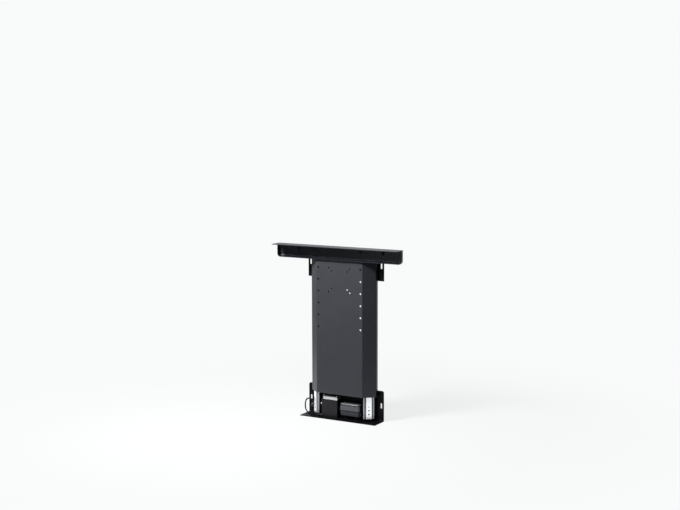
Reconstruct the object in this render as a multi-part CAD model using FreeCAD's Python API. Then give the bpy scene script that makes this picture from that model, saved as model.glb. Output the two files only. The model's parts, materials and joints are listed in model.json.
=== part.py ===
import FreeCAD, Part
import math
import os

# Electric television lift, shown retracted, in millimetres.
# +X is to the right as seen from the front, +Y points to the wall, +Z is up.
# The origin is on the floor, under the middle of the bounding box.

V = FreeCAD.Vector
ORIGIN = V(0, 0, 0)
X_AXIS = V(1, 0, 0)
Y_AXIS = V(0, 1, 0)
Z_AXIS = V(0, 0, 1)
SIDES = (("left", -1), ("right", 1))

# ---- Driving dimensions ---------------------------------------------------------------

OVERALL_DEPTH = 114.0       # wall to the front edge of the lid bracket
OVERALL_H = 728.3           # floor to the lid bracket's top, retracted
FIT_GAP = 0.2               # loose fit of a plug in its opening
SCREW_GAP = 0.05            # clearance of a screw, rivet or ball in its hole, on the radius
RUNNING_GAP = 0.05          # running fit of a shaft in its bearing, on the radius
SEAT_GAP = 0.02             # a gear's bore on its seat, on the radius
STOP_GAP = 0.3              # what is left between a stop and what comes to rest on it
PAST = 1.0                  # how far a cutting shape runs past what it cuts

# Wall brackets. The lower one is bent with the base plate from one sheet.
BRACKET_W = 360.0
BRACKET_T = 3.0
BRACKET_BEND_R = 2.5
BRACKET_CORNER_R = 8.0
BASE_DEPTH = 80.0
LOWER_BRACKET_H = 129.0
UPPER_BRACKET_DROP = 16.3   # lid bracket's top to the upper bracket's top
UPPER_BRACKET_H = 124.0
WALL_SLOT_INSET = 11.5      # bracket's end to the slot's middle
WALL_SLOT_W = 7.5
WALL_SLOT_L = 23.0

# Cover: a folded sheet with a flat face, two bevels and two short sides, open at the back.
COVER_STANDOFF = 58.0       # wall to the cover's face
COVER_FACE_W = 217.4
COVER_BEVEL_X = 45.0
COVER_BEVEL_Y = 36.2
COVER_SIDE = 15.1
COVER_T = 2.0
COVER_BEND_R = 2.0
COVER_Z = 104.0
COVER_DROP = 60.3           # lid bracket's top to the cover's top

# Holes in the cover for the television's bracket
COLUMN_SPACING = 200.0
ROW_PITCH = 50.0
ROW_COUNT = 6
TOP_ROW_DROP = 31.0         # cover's top to the middle of the top row
COLUMN_HOLE_R = 4.0
VESA_SIZES = (100.0, 75.0)
VESA_HOLE_R = 3.1

# Ball slides, three members each, standing behind the cover's bevels
SLIDE_W = 45.0
SLIDE_H = 12.7
SLIDE_T = 1.2
SLIDE_BEND_R = 0.5
SLIDE_Z = 12.0
SLIDE_DROP = 8.4            # lid bracket's lower edge to the slides' top
SLIDE_LIP = 3.5
OUTER_LIP_DEPTH = 4.0       # bevel side of the slide to the outer member's lips
MIDDLE_LIP_DEPTH = 2.0
OUTER_BALL_R = 2.0
INNER_BALL_R = 1.5
BALL_GAP = 0.3
CAGE_T = 0.8
CAGE_GAP = 0.4
CAGE_L = 350.0
BALL_PITCH = 55.0
BALLS_PER_ROW = 6
SLIDE_END_HOLE_RADII = (3.3, 3.3, 2.3)  # from the lowest up
SLIDE_END_HOLE_PITCH = 16.0
SLIDE_END_HOLE_Z = 20.5     # above the slide's lower end

# Uprights: folded posts that carry the slides from the base to the upper bracket
UPRIGHT_T = 2.5
UPRIGHT_BEND_R = 2.5
UPRIGHT_FRONT = 3.0         # along the bevel, from the face's bend to the upright's front edge
UPRIGHT_FLANGE = 42.0
UPRIGHT_DROP = 20.0         # upper bracket's top to the uprights' top
UPRIGHT_SCREW_INSET = 13.0  # from the flange's free edge
UPRIGHT_LOW_SCREWS = (40.0, 105.0)
UPRIGHT_HIGH_SCREWS = (22.0, 92.0)      # above the upper bracket's lower edge
SLIDE_RIVET_COUNT = 5
RIVET_END_GAP = 60.0        # slide's end to its nearest rivet
RIVET_R = 2.0
RIVET_HEAD_R = 4.0
RIVET_HEAD_H = 1.6
STUD_COUNT = 5
STUD_NUT_AF = 7.0
STUD_NUT_H = 3.2
STUD_END_GAP = 24.0         # cover's edge to its nearest stud

# Screws that fasten the uprights and the drive rail to the brackets
FRAME_SCREW_R = 3.0
FRAME_SCREW_HEAD_R = 5.0
FRAME_SCREW_HEAD_H = 3.2
FRAME_SCREW_END = 0.3       # left between the screw's end and the wall

# Lid bracket: one pressing with a web, a rim, a plate to the front and two stiffening ribs
LID_BRACKET_W = 588.6
LID_BRACKET_H = 57.9
LID_BRACKET_T = 2.5
LID_RIM_DEPTH = 21.0
LID_WEB_STANDOFF = 48.0     # wall to the web's back
LID_CORNER_R = 14.5
LID_BEND_R = 9.5
LID_TOP_BEND_R = 2.5        # between the web and the plate
LID_PLATE_CORNER_R = 3.0
LID_RIB_X = 200.0
LID_RIB_W = 10.0
LID_RIB_LEG = 26.0
LID_RIB_ROUND = 3.5
LID_SCREW_SPACING_X = 500.0
LID_SCREW_SPACING_Y = 30.0
LID_SCREW_INSET = 12.0      # front edge to the front row
LID_SCREW_R = 2.5

# Head bracket: joins the lid bracket to the inside of the cover's top
HEAD_T = 2.5
HEAD_BEND_R = 2.5
HEAD_W = 236.0
HEAD_NECK_W = 196.0
HEAD_FLANGE_H = 16.0
HEAD_TOP_GAP = 6.0          # below the lid bracket's plate
HEAD_JOGGLE_GAP = 8.0       # below the cover's top edge
HEAD_JOGGLE_H = 12.0
BOLT_DROP = 21.3            # lid bracket's top to the bolts
BOLT_R = 4.0
BOLT_HOLE_GAP = 0.2
BOLT_HEAD_R = 7.0
BOLT_HEAD_H = 4.4
BOLT_NUT_AF = 13.0
BOLT_NUT_H = 6.5
BOLT_END = 1.5              # thread standing out of the nut

# Drive unit: a housing with the motor, and a gearbox on top of it
DRIVE_W = 76.0
DRIVE_RIGHT_X = -14.5
DRIVE_DEPTH = 46.5
DRIVE_H = 75.0
DRIVE_WALL = 2.0
DRIVE_EDGE_R = 3.0
HOUSING_SCREW_INSET = 14.0
SOCKET_W = 8.0
SOCKET_H = 5.6
SOCKET_OUT = 4.0            # out of the housing's left wall
SOCKET_IN = 6.0
SOCKET_WALL = 1.2
SOCKET_Y_INSET = 7.0        # housing's front to the socket's middle
SOCKET_DROP = 20.5          # housing's top to the socket's middle
GEARBOX_H = 14.0
GEARBOX_INSET = 7.5         # the gearbox's left wall, in from the housing's
GEARBOX_FLOOR = 2.5
GEARBOX_WALL = 2.0
GEARBOX_LID_T = 2.0
GEARBOX_LID_EDGE = 1.5
LID_CLEARANCE = 1.0         # gearbox lid to the spindle's thread and the drive rail
GEAR_MODULE = 0.8
GEAR_TEETH = 50
PINION_TEETH = 15
GEAR_H = 8.0
GEAR_LIFT = 1.5             # gearbox floor to the gear
PINION_EXTRA_H = 1.0
GEAR_THINNING = 0.16        # taken off each tooth's width for backlash
PRESSURE_ANGLE = math.radians(20)
SPINDLE_FROM_LEFT = 31.0    # housing's left wall to the spindle's axis
MOTOR_R = 15.0
MOTOR_L = 52.0
MOTOR_WALL = 1.5
MOTOR_END_T = 2.0
MOTOR_SHAFT_R = 2.5
ARMATURE_R = 10.0
ARMATURE_END_GAP = 6.0
MAGNET_T = 2.0
MAGNET_END_GAP = 5.0
MOTOR_SCREW_CIRCLE_R = 9.0
SMALL_SCREW_R = 1.5
SMALL_SCREW_HEAD_R = 3.0
SMALL_SCREW_HEAD_H = 1.8
SMALL_SCREW_GRIP = 5.0

# Spindle, its bearings, its nut and the stops at the ends of the travel
SPINDLE_R = 8.0
JOURNAL_R = 4.0
GEAR_SEAT_R = 5.0
BEARING_R = 8.0
BEARING_H = 5.0
BEARING_BOSS_WALL = 2.0
BEARING_LIP = 1.5
BUFFER_GAP = 0.6
LOWER_BUFFER_H = 3.7
LOWER_BUFFER_R = 14.0
UPPER_BUFFER_H = 9.5
UPPER_BUFFER_R = 11.5
NUT_BODY_R = 12.0
NUT_BODY_H = 8.0
NUT_FLANGE_R = 18.0
NUT_FLANGE_H = 6.0
NUT_SCREW_CIRCLE_R = 15.0
NUT_SCREW_COUNT = 4
NUT_PLATE_T = 4.0
NUT_PLATE_W = 44.0
NUT_PLATE_BACK = 18.0       # spindle's axis to the plate's back edge
NUT_PLATE_FLANGE = 34.0
NUT_PLATE_BEND_R = 2.0

# Drive rail: a channel behind the spindle that carries its upper bearing
RAIL_W = 60.0
RAIL_T = 2.5
RAIL_BEND_R = 2.0
RAIL_DEPTH = 16.0
RAIL_DROP = 16.0            # lid bracket's top to the rail's top
RAIL_SCREW_SPACING = 40.0
RAIL_LOW_SCREWS = (107.0, 121.0)
RAIL_HIGH_SCREWS = (14.0, 72.0)         # above the upper bracket's lower edge
TOP_PLATE_T = 3.0
TOP_PLATE_W = 40.0
TOP_PLATE_FLANGE = 20.0
TOP_SCREW_DROP = 8.0

# Control box, on four spacers beside the drive unit
CONTROL_W = 97.0
CONTROL_DEPTH = 46.0
CONTROL_H = 57.5
CONTROL_SEAM = 28.5         # floor of the box to the joint of its two shells
CONTROL_WALL = 2.0
CONTROL_EDGE_R = 6.0
CONTROL_TOP_R = 3.0
CONTROL_GAP = 9.5           # between the two housings
CONTROL_BACK_GAP = 2.0
SEAM_GAP = 0.4
SPACER_H = 10.5
SPACER_R = 4.0
SPACER_INSET_X = 24.0
SPACER_INSET_Y = 14.0
BOARD_T = 1.6
BOARD_W = 76.0
BOARD_DEPTH = 36.0
BOARD_EDGE = 6.0            # box's left wall to the board
BOARD_Z = 8.0               # box's inner floor to the board
BOARD_POST_R = 2.5
BOARD_POST_INSET = 4.0
BOARD_SCREW_R = 1.0
BOARD_SCREW_HEAD_R = 2.0
BOARD_SCREW_HEAD_H = 1.2
TRANSFORMER = (28.0, 24.0, 20.0)
RELAY = (19.0, 10.0, 15.0)
CAPACITOR_R = 5.0
CAPACITOR_H = 20.0
PART_EDGE = 6.0             # board's edge to the parts on it
INLET_W = 24.0
INLET_H = 16.0
INLET_L = 14.0
INLET_FLANGE = 2.0
INLET_FLANGE_T = 1.2
INLET_Z = 5.0
INLET_CAVITY = 10.0
INLET_RIM = 3.0
LINK_W = 14.0
LINK_H = 9.0
LINK_Z = 18.0               # above the control box's inner floor

# Remote receiver on the lower bracket, and its lead to the drive housing
RECEIVER_W = 14.0
RECEIVER_DEPTH = 11.0
RECEIVER_H = 16.0
RECEIVER_Z = 28.0
RECEIVER_OFFSET = 8.0       # left upright's corner to the receiver's middle
RECEIVER_EDGE_R = 1.5
LEAD_R = 2.75
GLAND_R = 3.4
GLAND_L = 4.0
GLAND_COLLAR_R = 4.4
GLAND_COLLAR_L = 1.5
GLAND_Y_INSET = 4.5         # housing's front to the gland's axis
GLAND_Z = 7.4
LEAD_RISE = 6.5             # straight out of the receiver
LEAD_STRAIGHT = 7.3         # straight into the gland
LEAD_LOOP = (               # from the receiver's middle along X, y, z
    (-3.4, 46.8, 57.4),
    (-9.7, 44.8, 62.0),
    (-17.5, 42.4, 62.6),
    (-24.7, 40.2, 59.2),
    (-29.3, 38.4, 52.6),
    (-30.9, 37.2, 44.0),
    (-31.3, 36.2, 34.0),
    (-30.3, 35.0, 24.5),
    (-27.1, 33.2, 16.2),
    (-21.5, 30.6, 9.8),
    (-13.7, 27.2, 6.1),
)
LEAD_RUN = (                # share of the way from the receiver to the gland, y, height over the base
    (-0.066, 23.8, 0.0),
    (0.107, 20.6, 0.0),
    (0.275, 16.2, 0.0),
    (0.435, 10.6, 0.0),
    (0.590, 6.2, 0.0),
    (0.752, 5.2, 0.4),
)

# ---- Places that follow from the sizes above -------------------------------------------

WALL_Y = OVERALL_DEPTH / 2
BRACKET_FRONT_Y = WALL_Y - BRACKET_T
COVER_FRONT_Y = WALL_Y - COVER_STANDOFF
BASE_TOP_Z = BRACKET_T
BEND_TOP_Z = BASE_TOP_Z + BRACKET_BEND_R

# Everything at the upper end keeps its distance from the top.
LID_BRACKET_BOTTOM_Z = OVERALL_H - LID_BRACKET_H
BOLT_Z = OVERALL_H - BOLT_DROP
COVER_TOP_Z = OVERALL_H - COVER_DROP
TOP_ROW_Z = COVER_TOP_Z - TOP_ROW_DROP
SLIDE_TOP_Z = LID_BRACKET_BOTTOM_Z - SLIDE_DROP
UPPER_BRACKET_TOP_Z = OVERALL_H - UPPER_BRACKET_DROP
UPPER_BRACKET_Z = UPPER_BRACKET_TOP_Z - UPPER_BRACKET_H
UPRIGHT_TOP_Z = UPPER_BRACKET_TOP_Z - UPRIGHT_DROP
RAIL_TOP_Z = OVERALL_H - RAIL_DROP

BRACKET_LEFT_X = -BRACKET_W / 2
WALL_SLOT_X = BRACKET_W / 2 - WALL_SLOT_INSET
LOWER_SLOT_Z = (BASE_TOP_Z + LOWER_BRACKET_H) / 2
UPPER_SLOT_Z = (UPPER_BRACKET_Z + UPPER_BRACKET_TOP_Z) / 2
UPRIGHT_SCREW_Z = list(UPRIGHT_LOW_SCREWS) + [UPPER_BRACKET_Z + up for up in UPRIGHT_HIGH_SCREWS]
RAIL_SCREW_Z = list(RAIL_LOW_SCREWS) + [UPPER_BRACKET_Z + up for up in RAIL_HIGH_SCREWS]

# The right bevel runs from the face's corner towards the wall. Slide and upright are drawn
# in its own directions: along it, and square to it towards the inside of the cover.
BEVEL_LENGTH = math.hypot(COVER_BEVEL_X, COVER_BEVEL_Y)
BEVEL_START = V(COVER_FACE_W / 2, COVER_FRONT_Y, 0)
BEVEL_ALONG = V(COVER_BEVEL_X, COVER_BEVEL_Y, 0) * (1 / BEVEL_LENGTH)
BEVEL_INWARD = V(-BEVEL_ALONG.y, BEVEL_ALONG.x, 0)
BEVEL_MIDDLE = BEVEL_START + BEVEL_ALONG * (BEVEL_LENGTH / 2)

# Slide section, as half widths and depths from the bevel's inner surface
OUTER_WALL_IN = SLIDE_W / 2 - SLIDE_T
OUTER_BALL_W = OUTER_WALL_IN - BALL_GAP - OUTER_BALL_R
MIDDLE_HALF_W = OUTER_BALL_W - OUTER_BALL_R - BALL_GAP
INNER_BALL_W = MIDDLE_HALF_W - SLIDE_T - BALL_GAP - INNER_BALL_R
INNER_HALF_W = INNER_BALL_W - INNER_BALL_R - BALL_GAP
CAGE_ROOM = CAGE_T + 2 * CAGE_GAP
OUTER_BASE_DEPTH = SLIDE_H - SLIDE_T
MIDDLE_BACK_DEPTH = OUTER_BASE_DEPTH - CAGE_ROOM
INNER_DEPTH = MIDDLE_BACK_DEPTH - SLIDE_T - CAGE_ROOM
OUTER_CAGE_BASE = OUTER_BASE_DEPTH - CAGE_GAP - CAGE_T
INNER_CAGE_BASE = INNER_DEPTH + CAGE_GAP
OUTER_CAGE_FRONT = OUTER_LIP_DEPTH + SLIDE_T + CAGE_GAP
INNER_CAGE_FRONT = MIDDLE_LIP_DEPTH + SLIDE_T + CAGE_GAP
CAGE_Z = (SLIDE_Z + SLIDE_TOP_Z - CAGE_L) / 2

LID_WEB_BACK_Y = WALL_Y - LID_WEB_STANDOFF
LID_WEB_FRONT_Y = LID_WEB_BACK_Y - LID_BRACKET_T
LID_RIM_FRONT_Y = LID_WEB_BACK_Y - LID_RIM_DEPTH
LID_FRONT_Y = WALL_Y - OVERALL_DEPTH
LID_PLATE_BOTTOM_Z = OVERALL_H - LID_BRACKET_T
HEAD_TOP_Z = LID_PLATE_BOTTOM_Z - HEAD_TOP_GAP

DRIVE_LEFT_X = DRIVE_RIGHT_X - DRIVE_W
DRIVE_BACK_Y = BRACKET_FRONT_Y - BRACKET_BEND_R
DRIVE_FRONT_Y = DRIVE_BACK_Y - DRIVE_DEPTH
DRIVE_TOP_Z = BASE_TOP_Z + DRIVE_H
GEARBOX_TOP_Z = DRIVE_TOP_Z + GEARBOX_H
GEARBOX_FLOOR_Z = DRIVE_TOP_Z + GEARBOX_FLOOR
LID_TOP_Z = GEARBOX_TOP_Z + GEARBOX_LID_T
GEAR_Z = GEARBOX_FLOOR_Z + GEAR_LIFT
GEAR_CENTRES = GEAR_MODULE * (GEAR_TEETH + PINION_TEETH) / 2
SPINDLE_X = DRIVE_LEFT_X + SPINDLE_FROM_LEFT
SPINDLE_Y = DRIVE_FRONT_Y + DRIVE_DEPTH / 2
MOTOR_X = SPINDLE_X + GEAR_CENTRES
MOTOR_Z = DRIVE_TOP_Z - MOTOR_L

BEARING_TOP_Z = DRIVE_TOP_Z
BEARING_BOTTOM_Z = BEARING_TOP_Z - BEARING_H
LOWER_BUFFER_TOP_Z = LID_TOP_Z + LOWER_BUFFER_H
NUT_BOTTOM_Z = LOWER_BUFFER_TOP_Z + STOP_GAP
NUT_FLANGE_Z = NUT_BOTTOM_Z + NUT_BODY_H
NUT_PLATE_Z = NUT_FLANGE_Z + NUT_FLANGE_H
NUT_PLATE_TOP_Z = NUT_PLATE_Z + NUT_PLATE_T
TOP_PLATE_Z = RAIL_TOP_Z - TOP_PLATE_FLANGE
UPPER_BEARING_Z = TOP_PLATE_Z - BEARING_H
UPPER_BUFFER_Z = UPPER_BEARING_Z - BEARING_LIP - UPPER_BUFFER_H
TRAVEL = UPPER_BUFFER_Z - STOP_GAP - NUT_PLATE_TOP_Z
RAIL_Z = LID_TOP_Z + LID_CLEARANCE
RAIL_WEB_FRONT_Y = BRACKET_FRONT_Y - RAIL_T
THREAD_Z = LID_TOP_Z + LID_CLEARANCE

CONTROL_LEFT_X = DRIVE_RIGHT_X + CONTROL_GAP
CONTROL_RIGHT_X = CONTROL_LEFT_X + CONTROL_W
CONTROL_BACK_Y = BRACKET_FRONT_Y - CONTROL_BACK_GAP
CONTROL_FRONT_Y = CONTROL_BACK_Y - CONTROL_DEPTH
CONTROL_Z = BASE_TOP_Z + SPACER_H
CONTROL_TOP_Z = CONTROL_Z + CONTROL_H
CONTROL_SEAM_Z = CONTROL_Z + CONTROL_SEAM
CONTROL_FLOOR_Z = CONTROL_Z + CONTROL_WALL
BOARD_BOTTOM_Z = CONTROL_FLOOR_Z + BOARD_Z
BOARD_TOP_Z = BOARD_BOTTOM_Z + BOARD_T
BOARD_X = CONTROL_LEFT_X + BOARD_EDGE
BOARD_Y = (CONTROL_FRONT_Y + CONTROL_BACK_Y - BOARD_DEPTH) / 2
MIDDLE_Y = (CONTROL_FRONT_Y + CONTROL_BACK_Y) / 2
GLAND_Y = DRIVE_FRONT_Y + GLAND_Y_INSET
RECEIVER_TOP_Z = RECEIVER_Z + RECEIVER_H
LEAD_BASE_Z = BASE_TOP_Z + LEAD_R


# ---- Shapes ------------------------------------------------------------------------------

def box(x0, x1, y0, y1, z0, z1):
    """Block between two corners."""
    return Part.makeBox(x1 - x0, y1 - y0, z1 - z0, V(x0, y0, z0))


def rod(x, y, z0, z1, radius):
    """Upright round bar."""
    return Part.makeCylinder(radius, z1 - z0, V(x, y, z0), Z_AXIS)


def rod_y(x, z, y0, y1, radius):
    """Round bar along Y."""
    return Part.makeCylinder(radius, y1 - y0, V(x, y0, z), Y_AXIS)


def rod_x(y, z, x0, x1, radius):
    """Round bar along X."""
    return Part.makeCylinder(radius, x1 - x0, V(x0, y, z), X_AXIS)


def ring(x, y, z0, z1, inner, outer):
    """Upright tube."""
    return rod(x, y, z0, z1, outer).cut(rod(x, y, z0 - PAST, z1 + PAST, inner))


def group(solids):
    """Separate solids in one node."""
    return Part.makeCompound(solids)


def corner(before, point, after, radius):
    """Start, middle and end of the arc that rounds a corner."""
    if radius == 0:
        return point, point, point
    to_before = (before - point) * (1 / (before - point).Length)
    to_after = (after - point) * (1 / (after - point).Length)
    half = to_before.getAngle(to_after) / 2
    bisector = to_before + to_after
    bisector = bisector * (1 / bisector.Length)
    reach = radius / math.tan(half)
    middle = point + bisector * (radius / math.sin(half) - radius)
    return point + to_before * reach, middle, point + to_after * reach


def outline(points, radii):
    """Closed face through points, each corner rounded by its own radius."""
    count = len(points)
    following = points[1:] + points[:1]
    corners = [corner(points[i - 1], points[i], following[i], radii[i]) for i in range(count)]
    edges = []
    for i, (start, middle, end) in enumerate(corners):
        if radii[i] > 0:
            edges.append(Part.Arc(start, middle, end).toShape())
        next_start = corners[(i + 1) % count][0]
        if (next_start - end).Length > 1e-6:
            edges.append(Part.LineSegment(end, next_start).toShape())
    return Part.Face(Part.Wire(edges))


def sheet_section(points, thickness, bend_radius):
    """Section of a folded sheet whose middle follows points, bent on bend_radius inside."""
    left, right, left_radii, right_radii = [], [], [], []
    last = len(points) - 1
    for i, point in enumerate(points):
        arriving = points[i] - points[i - 1] if i > 0 else points[1] - points[0]
        leaving = points[i + 1] - points[i] if i < last else arriving
        arriving = arriving * (1 / arriving.Length)
        leaving = leaving * (1 / leaving.Length)
        normal = V(-arriving.y - leaving.y, arriving.x + leaving.x, 0)
        normal = normal * (1 / normal.Length)
        cosine = normal.x * -arriving.y + normal.y * arriving.x
        offset = normal * (thickness / 2 / cosine)
        turn = arriving.x * leaving.y - arriving.y * leaving.x
        ends = i in (0, last)
        left.append(point + offset)
        right.append(point - offset)
        left_radii.append(0 if ends else bend_radius + (0 if turn > 0 else thickness))
        right_radii.append(0 if ends else bend_radius + (thickness if turn > 0 else 0))
    return outline(left + right[::-1], left_radii + right_radii[::-1])


def upright_prism(face, z0, z1):
    """Section drawn in plan, raised from z0 to z1."""
    raised = face.extrude(V(0, 0, z1 - z0))
    raised.translate(V(0, 0, z0))
    return raised


def prism_along_x(face, x0, x1):
    """Section drawn as (y, z), run from x0 to x1."""
    bar = face.extrude(V(0, 0, x1 - x0))
    bar.rotate(ORIGIN, V(1, 1, 1), 120)
    bar.translate(V(x0, 0, 0))
    return bar


def slot_y(x, z, y0, y1, width, length):
    """Upright slot, cut along Y."""
    radius = width / 2
    reach = length / 2 - radius
    middle = box(x - radius, x + radius, y0, y1, z - reach, z + reach)
    return middle.fuse([rod_y(x, z + reach, y0, y1, radius), rod_y(x, z - reach, y0, y1, radius)])


def hexagon(x, y, z, across_flats, height, axis):
    """Hexagon nut blank standing on (x, y, z), along Y or Z."""
    radius = across_flats / math.sqrt(3)
    angles = [k * math.pi / 3 for k in range(7)]
    points = [V(radius * math.cos(a), radius * math.sin(a), 0) for a in angles]
    blank = Part.Face(Part.makePolygon(points)).extrude(V(0, 0, height))
    if axis == "y":
        blank.rotate(ORIGIN, X_AXIS, -90)
    blank.translate(V(x, y, z))
    return blank


def on_side(shape, side):
    """The right-hand shape, or its mirror image for the left."""
    return shape if side > 0 else shape.mirror(ORIGIN, X_AXIS)


def bevel_point(across, depth):
    """Plan point on the right: across from the bevel's middle, depth from its outer surface."""
    return BEVEL_MIDDLE + BEVEL_ALONG * across + BEVEL_INWARD * depth


def slide_point(across, depth):
    """Plan point in the right slide: depth counts from the cover's inner surface."""
    return bevel_point(across, COVER_T + depth)


def slide_rod(across, z, depth0, depth1, radius):
    """Round bar square to the bevel, between two depths in the slide."""
    start = slide_point(across, depth0)
    return Part.makeCylinder(radius, depth1 - depth0, V(start.x, start.y, z), BEVEL_INWARD)


def slide_channel(half_width, front, back, lip, thickness, bend_radius):
    """Section of a slide member: two walls, a base at the back and lips turned inwards."""
    wall = half_width - thickness / 2
    base = back - thickness / 2
    points = [slide_point(wall, front), slide_point(wall, base)]
    points += [slide_point(-wall, base), slide_point(-wall, front)]
    if lip > 0:
        lip_depth = front + thickness / 2
        points[0] = slide_point(wall, lip_depth)
        points[-1] = slide_point(-wall, lip_depth)
        points.insert(0, slide_point(half_width - lip, lip_depth))
        points.append(slide_point(lip - half_width, lip_depth))
    return sheet_section(points, thickness, bend_radius)


def spread(low, high, count):
    """Evenly spaced values from low to high."""
    return [low + (high - low) * i / (count - 1) for i in range(count)]


RIVET_Z = spread(SLIDE_Z + RIVET_END_GAP, SLIDE_TOP_Z - RIVET_END_GAP, SLIDE_RIVET_COUNT)
STUD_Z = spread(COVER_Z + STUD_END_GAP, COVER_TOP_Z - STUD_END_GAP, STUD_COUNT)


# ---- Fixed frame ---------------------------------------------------------------------------

def wall_slots(z):
    return [slot_y(x, z, BRACKET_FRONT_Y - PAST, WALL_Y + PAST, WALL_SLOT_W, WALL_SLOT_L)
            for x in (-WALL_SLOT_X, WALL_SLOT_X)]


def flange_screw_x():
    """Where the uprights' back flanges are screwed down, right of the middle."""
    return upright_corner().x - UPRIGHT_FLANGE + UPRIGHT_SCREW_INSET


def upright_corner():
    """Where the middle of the upright's web would meet the middle of its flange."""
    depth = COVER_T + SLIDE_H + UPRIGHT_T / 2
    flange_y = BRACKET_FRONT_Y - UPRIGHT_T / 2
    start = bevel_point(0, depth)
    return start + BEVEL_ALONG * ((flange_y - start.y) / BEVEL_ALONG.y)


def frame_screw_places():
    """(x, z, thickness held) of each screw in the brackets."""
    places = []
    for z in UPRIGHT_SCREW_Z:
        places += [(flange_screw_x(), z, UPRIGHT_T), (-flange_screw_x(), z, UPRIGHT_T)]
    for z in RAIL_SCREW_Z:
        for x in (-RAIL_SCREW_SPACING / 2, RAIL_SCREW_SPACING / 2):
            places.append((SPINDLE_X + x, z, RAIL_T))
    return places


def frame_screw_holes(z0, z1):
    radius = FRAME_SCREW_R + SCREW_GAP
    return [rod_y(x, z, BRACKET_FRONT_Y - PAST, WALL_Y + PAST, radius)
            for x, z, held in frame_screw_places() if z0 < z < z1]


def frame_screws():
    solids = []
    for x, z, held in frame_screw_places():
        under_head = BRACKET_FRONT_Y - held
        shank = rod_y(x, z, under_head, WALL_Y - FRAME_SCREW_END, FRAME_SCREW_R)
        head = rod_y(x, z, under_head - FRAME_SCREW_HEAD_H, under_head, FRAME_SCREW_HEAD_R)
        solids.append(head.fuse(shank))
    return group(solids)


def lower_bracket():
    middle_y = WALL_Y - BRACKET_T / 2
    middle_z = BRACKET_T / 2
    points = [V(WALL_Y - BASE_DEPTH, middle_z, 0), V(middle_y, middle_z, 0)]
    points.append(V(middle_y, LOWER_BRACKET_H, 0))
    section = sheet_section(points, BRACKET_T, BRACKET_BEND_R)
    plate = prism_along_x(section, -BRACKET_W / 2, BRACKET_W / 2)
    corners = [e for e in plate.Edges
               if abs(e.BoundBox.ZMin - LOWER_BRACKET_H) < 0.01 and e.BoundBox.XLength < 0.01]
    plate = plate.makeFillet(BRACKET_CORNER_R, corners)
    tapped = [rod(x, y, -PAST, BRACKET_T + PAST, SMALL_SCREW_R + SCREW_GAP)
              for x, y in spacer_places() + housing_screw_places()]
    return plate.cut(wall_slots(LOWER_SLOT_Z) + frame_screw_holes(0, LOWER_BRACKET_H) + tapped)


def upper_bracket():
    top = UPPER_BRACKET_TOP_Z
    plate = box(BRACKET_LEFT_X, -BRACKET_LEFT_X, BRACKET_FRONT_Y, WALL_Y, UPPER_BRACKET_Z, top)
    corners = [e for e in plate.Edges if abs(e.BoundBox.ZMin - top) < 0.01 and e.BoundBox.XLength < 0.01]
    plate = plate.makeFillet(BRACKET_CORNER_R, corners)
    return plate.cut(wall_slots(UPPER_SLOT_Z) + frame_screw_holes(UPPER_BRACKET_Z, top))


def upright(side):
    depth = COVER_T + SLIDE_H + UPRIGHT_T / 2
    bend = upright_corner()
    front = bevel_point(UPRIGHT_FRONT - BEVEL_LENGTH / 2, depth)
    points = [front, bend, bend - V(UPRIGHT_FLANGE, 0, 0)]
    post = upright_prism(sheet_section(points, UPRIGHT_T, UPRIGHT_BEND_R), BEND_TOP_Z, UPRIGHT_TOP_Z)
    hole_r = RIVET_R + SCREW_GAP
    holes = [slide_rod(0, z, OUTER_BASE_DEPTH, SLIDE_H + UPRIGHT_T + PAST, hole_r) for z in RIVET_Z]
    radius = FRAME_SCREW_R + SCREW_GAP
    holes += [rod_y(flange_screw_x(), z, BRACKET_FRONT_Y - UPRIGHT_T - PAST, WALL_Y, radius)
              for z in UPRIGHT_SCREW_Z]
    return on_side(post.cut(holes), side)


def slide_outer(side):
    section = slide_channel(SLIDE_W / 2, OUTER_LIP_DEPTH, SLIDE_H, SLIDE_LIP, SLIDE_T, SLIDE_BEND_R)
    member = upright_prism(section, SLIDE_Z, SLIDE_TOP_Z)
    holes = [slide_rod(0, z, 0, SLIDE_H + PAST, RIVET_R + SCREW_GAP) for z in RIVET_Z]
    return on_side(member.cut(holes), side)


def slide_rivets():
    """Flush in the outer members, headed on the uprights' inner side."""
    solids = []
    back = SLIDE_H + UPRIGHT_T
    for _, side in SIDES:
        for z in RIVET_Z:
            shank = slide_rod(0, z, OUTER_BASE_DEPTH, back, RIVET_R)
            head = slide_rod(0, z, back, back + RIVET_HEAD_H, RIVET_HEAD_R)
            solids.append(on_side(shank.fuse(head), side))
    return group(solids)


def drive_rail():
    web = BRACKET_FRONT_Y - RAIL_T / 2
    half = RAIL_W / 2 - RAIL_T / 2
    front = BRACKET_FRONT_Y - RAIL_DEPTH
    points = [V(SPINDLE_X - half, front, 0), V(SPINDLE_X - half, web, 0)]
    points += [V(SPINDLE_X + half, web, 0), V(SPINDLE_X + half, front, 0)]
    rail = upright_prism(sheet_section(points, RAIL_T, RAIL_BEND_R), RAIL_Z, RAIL_TOP_Z)
    radius = FRAME_SCREW_R + SCREW_GAP
    holes = []
    for z in RAIL_SCREW_Z:
        for x in (-RAIL_SCREW_SPACING / 2, RAIL_SCREW_SPACING / 2):
            holes.append(rod_y(SPINDLE_X + x, z, web - RAIL_T, WALL_Y, radius))
    holes += [rod_y(x, z, web - RAIL_T, WALL_Y, SMALL_SCREW_R + SCREW_GAP) for x, z in top_screw_places()]
    return rail.cut(holes)


def top_screw_places():
    inset = TOP_PLATE_W / 4
    z = RAIL_TOP_Z - TOP_SCREW_DROP
    return [(SPINDLE_X - inset, z), (SPINDLE_X + inset, z)]


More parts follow.
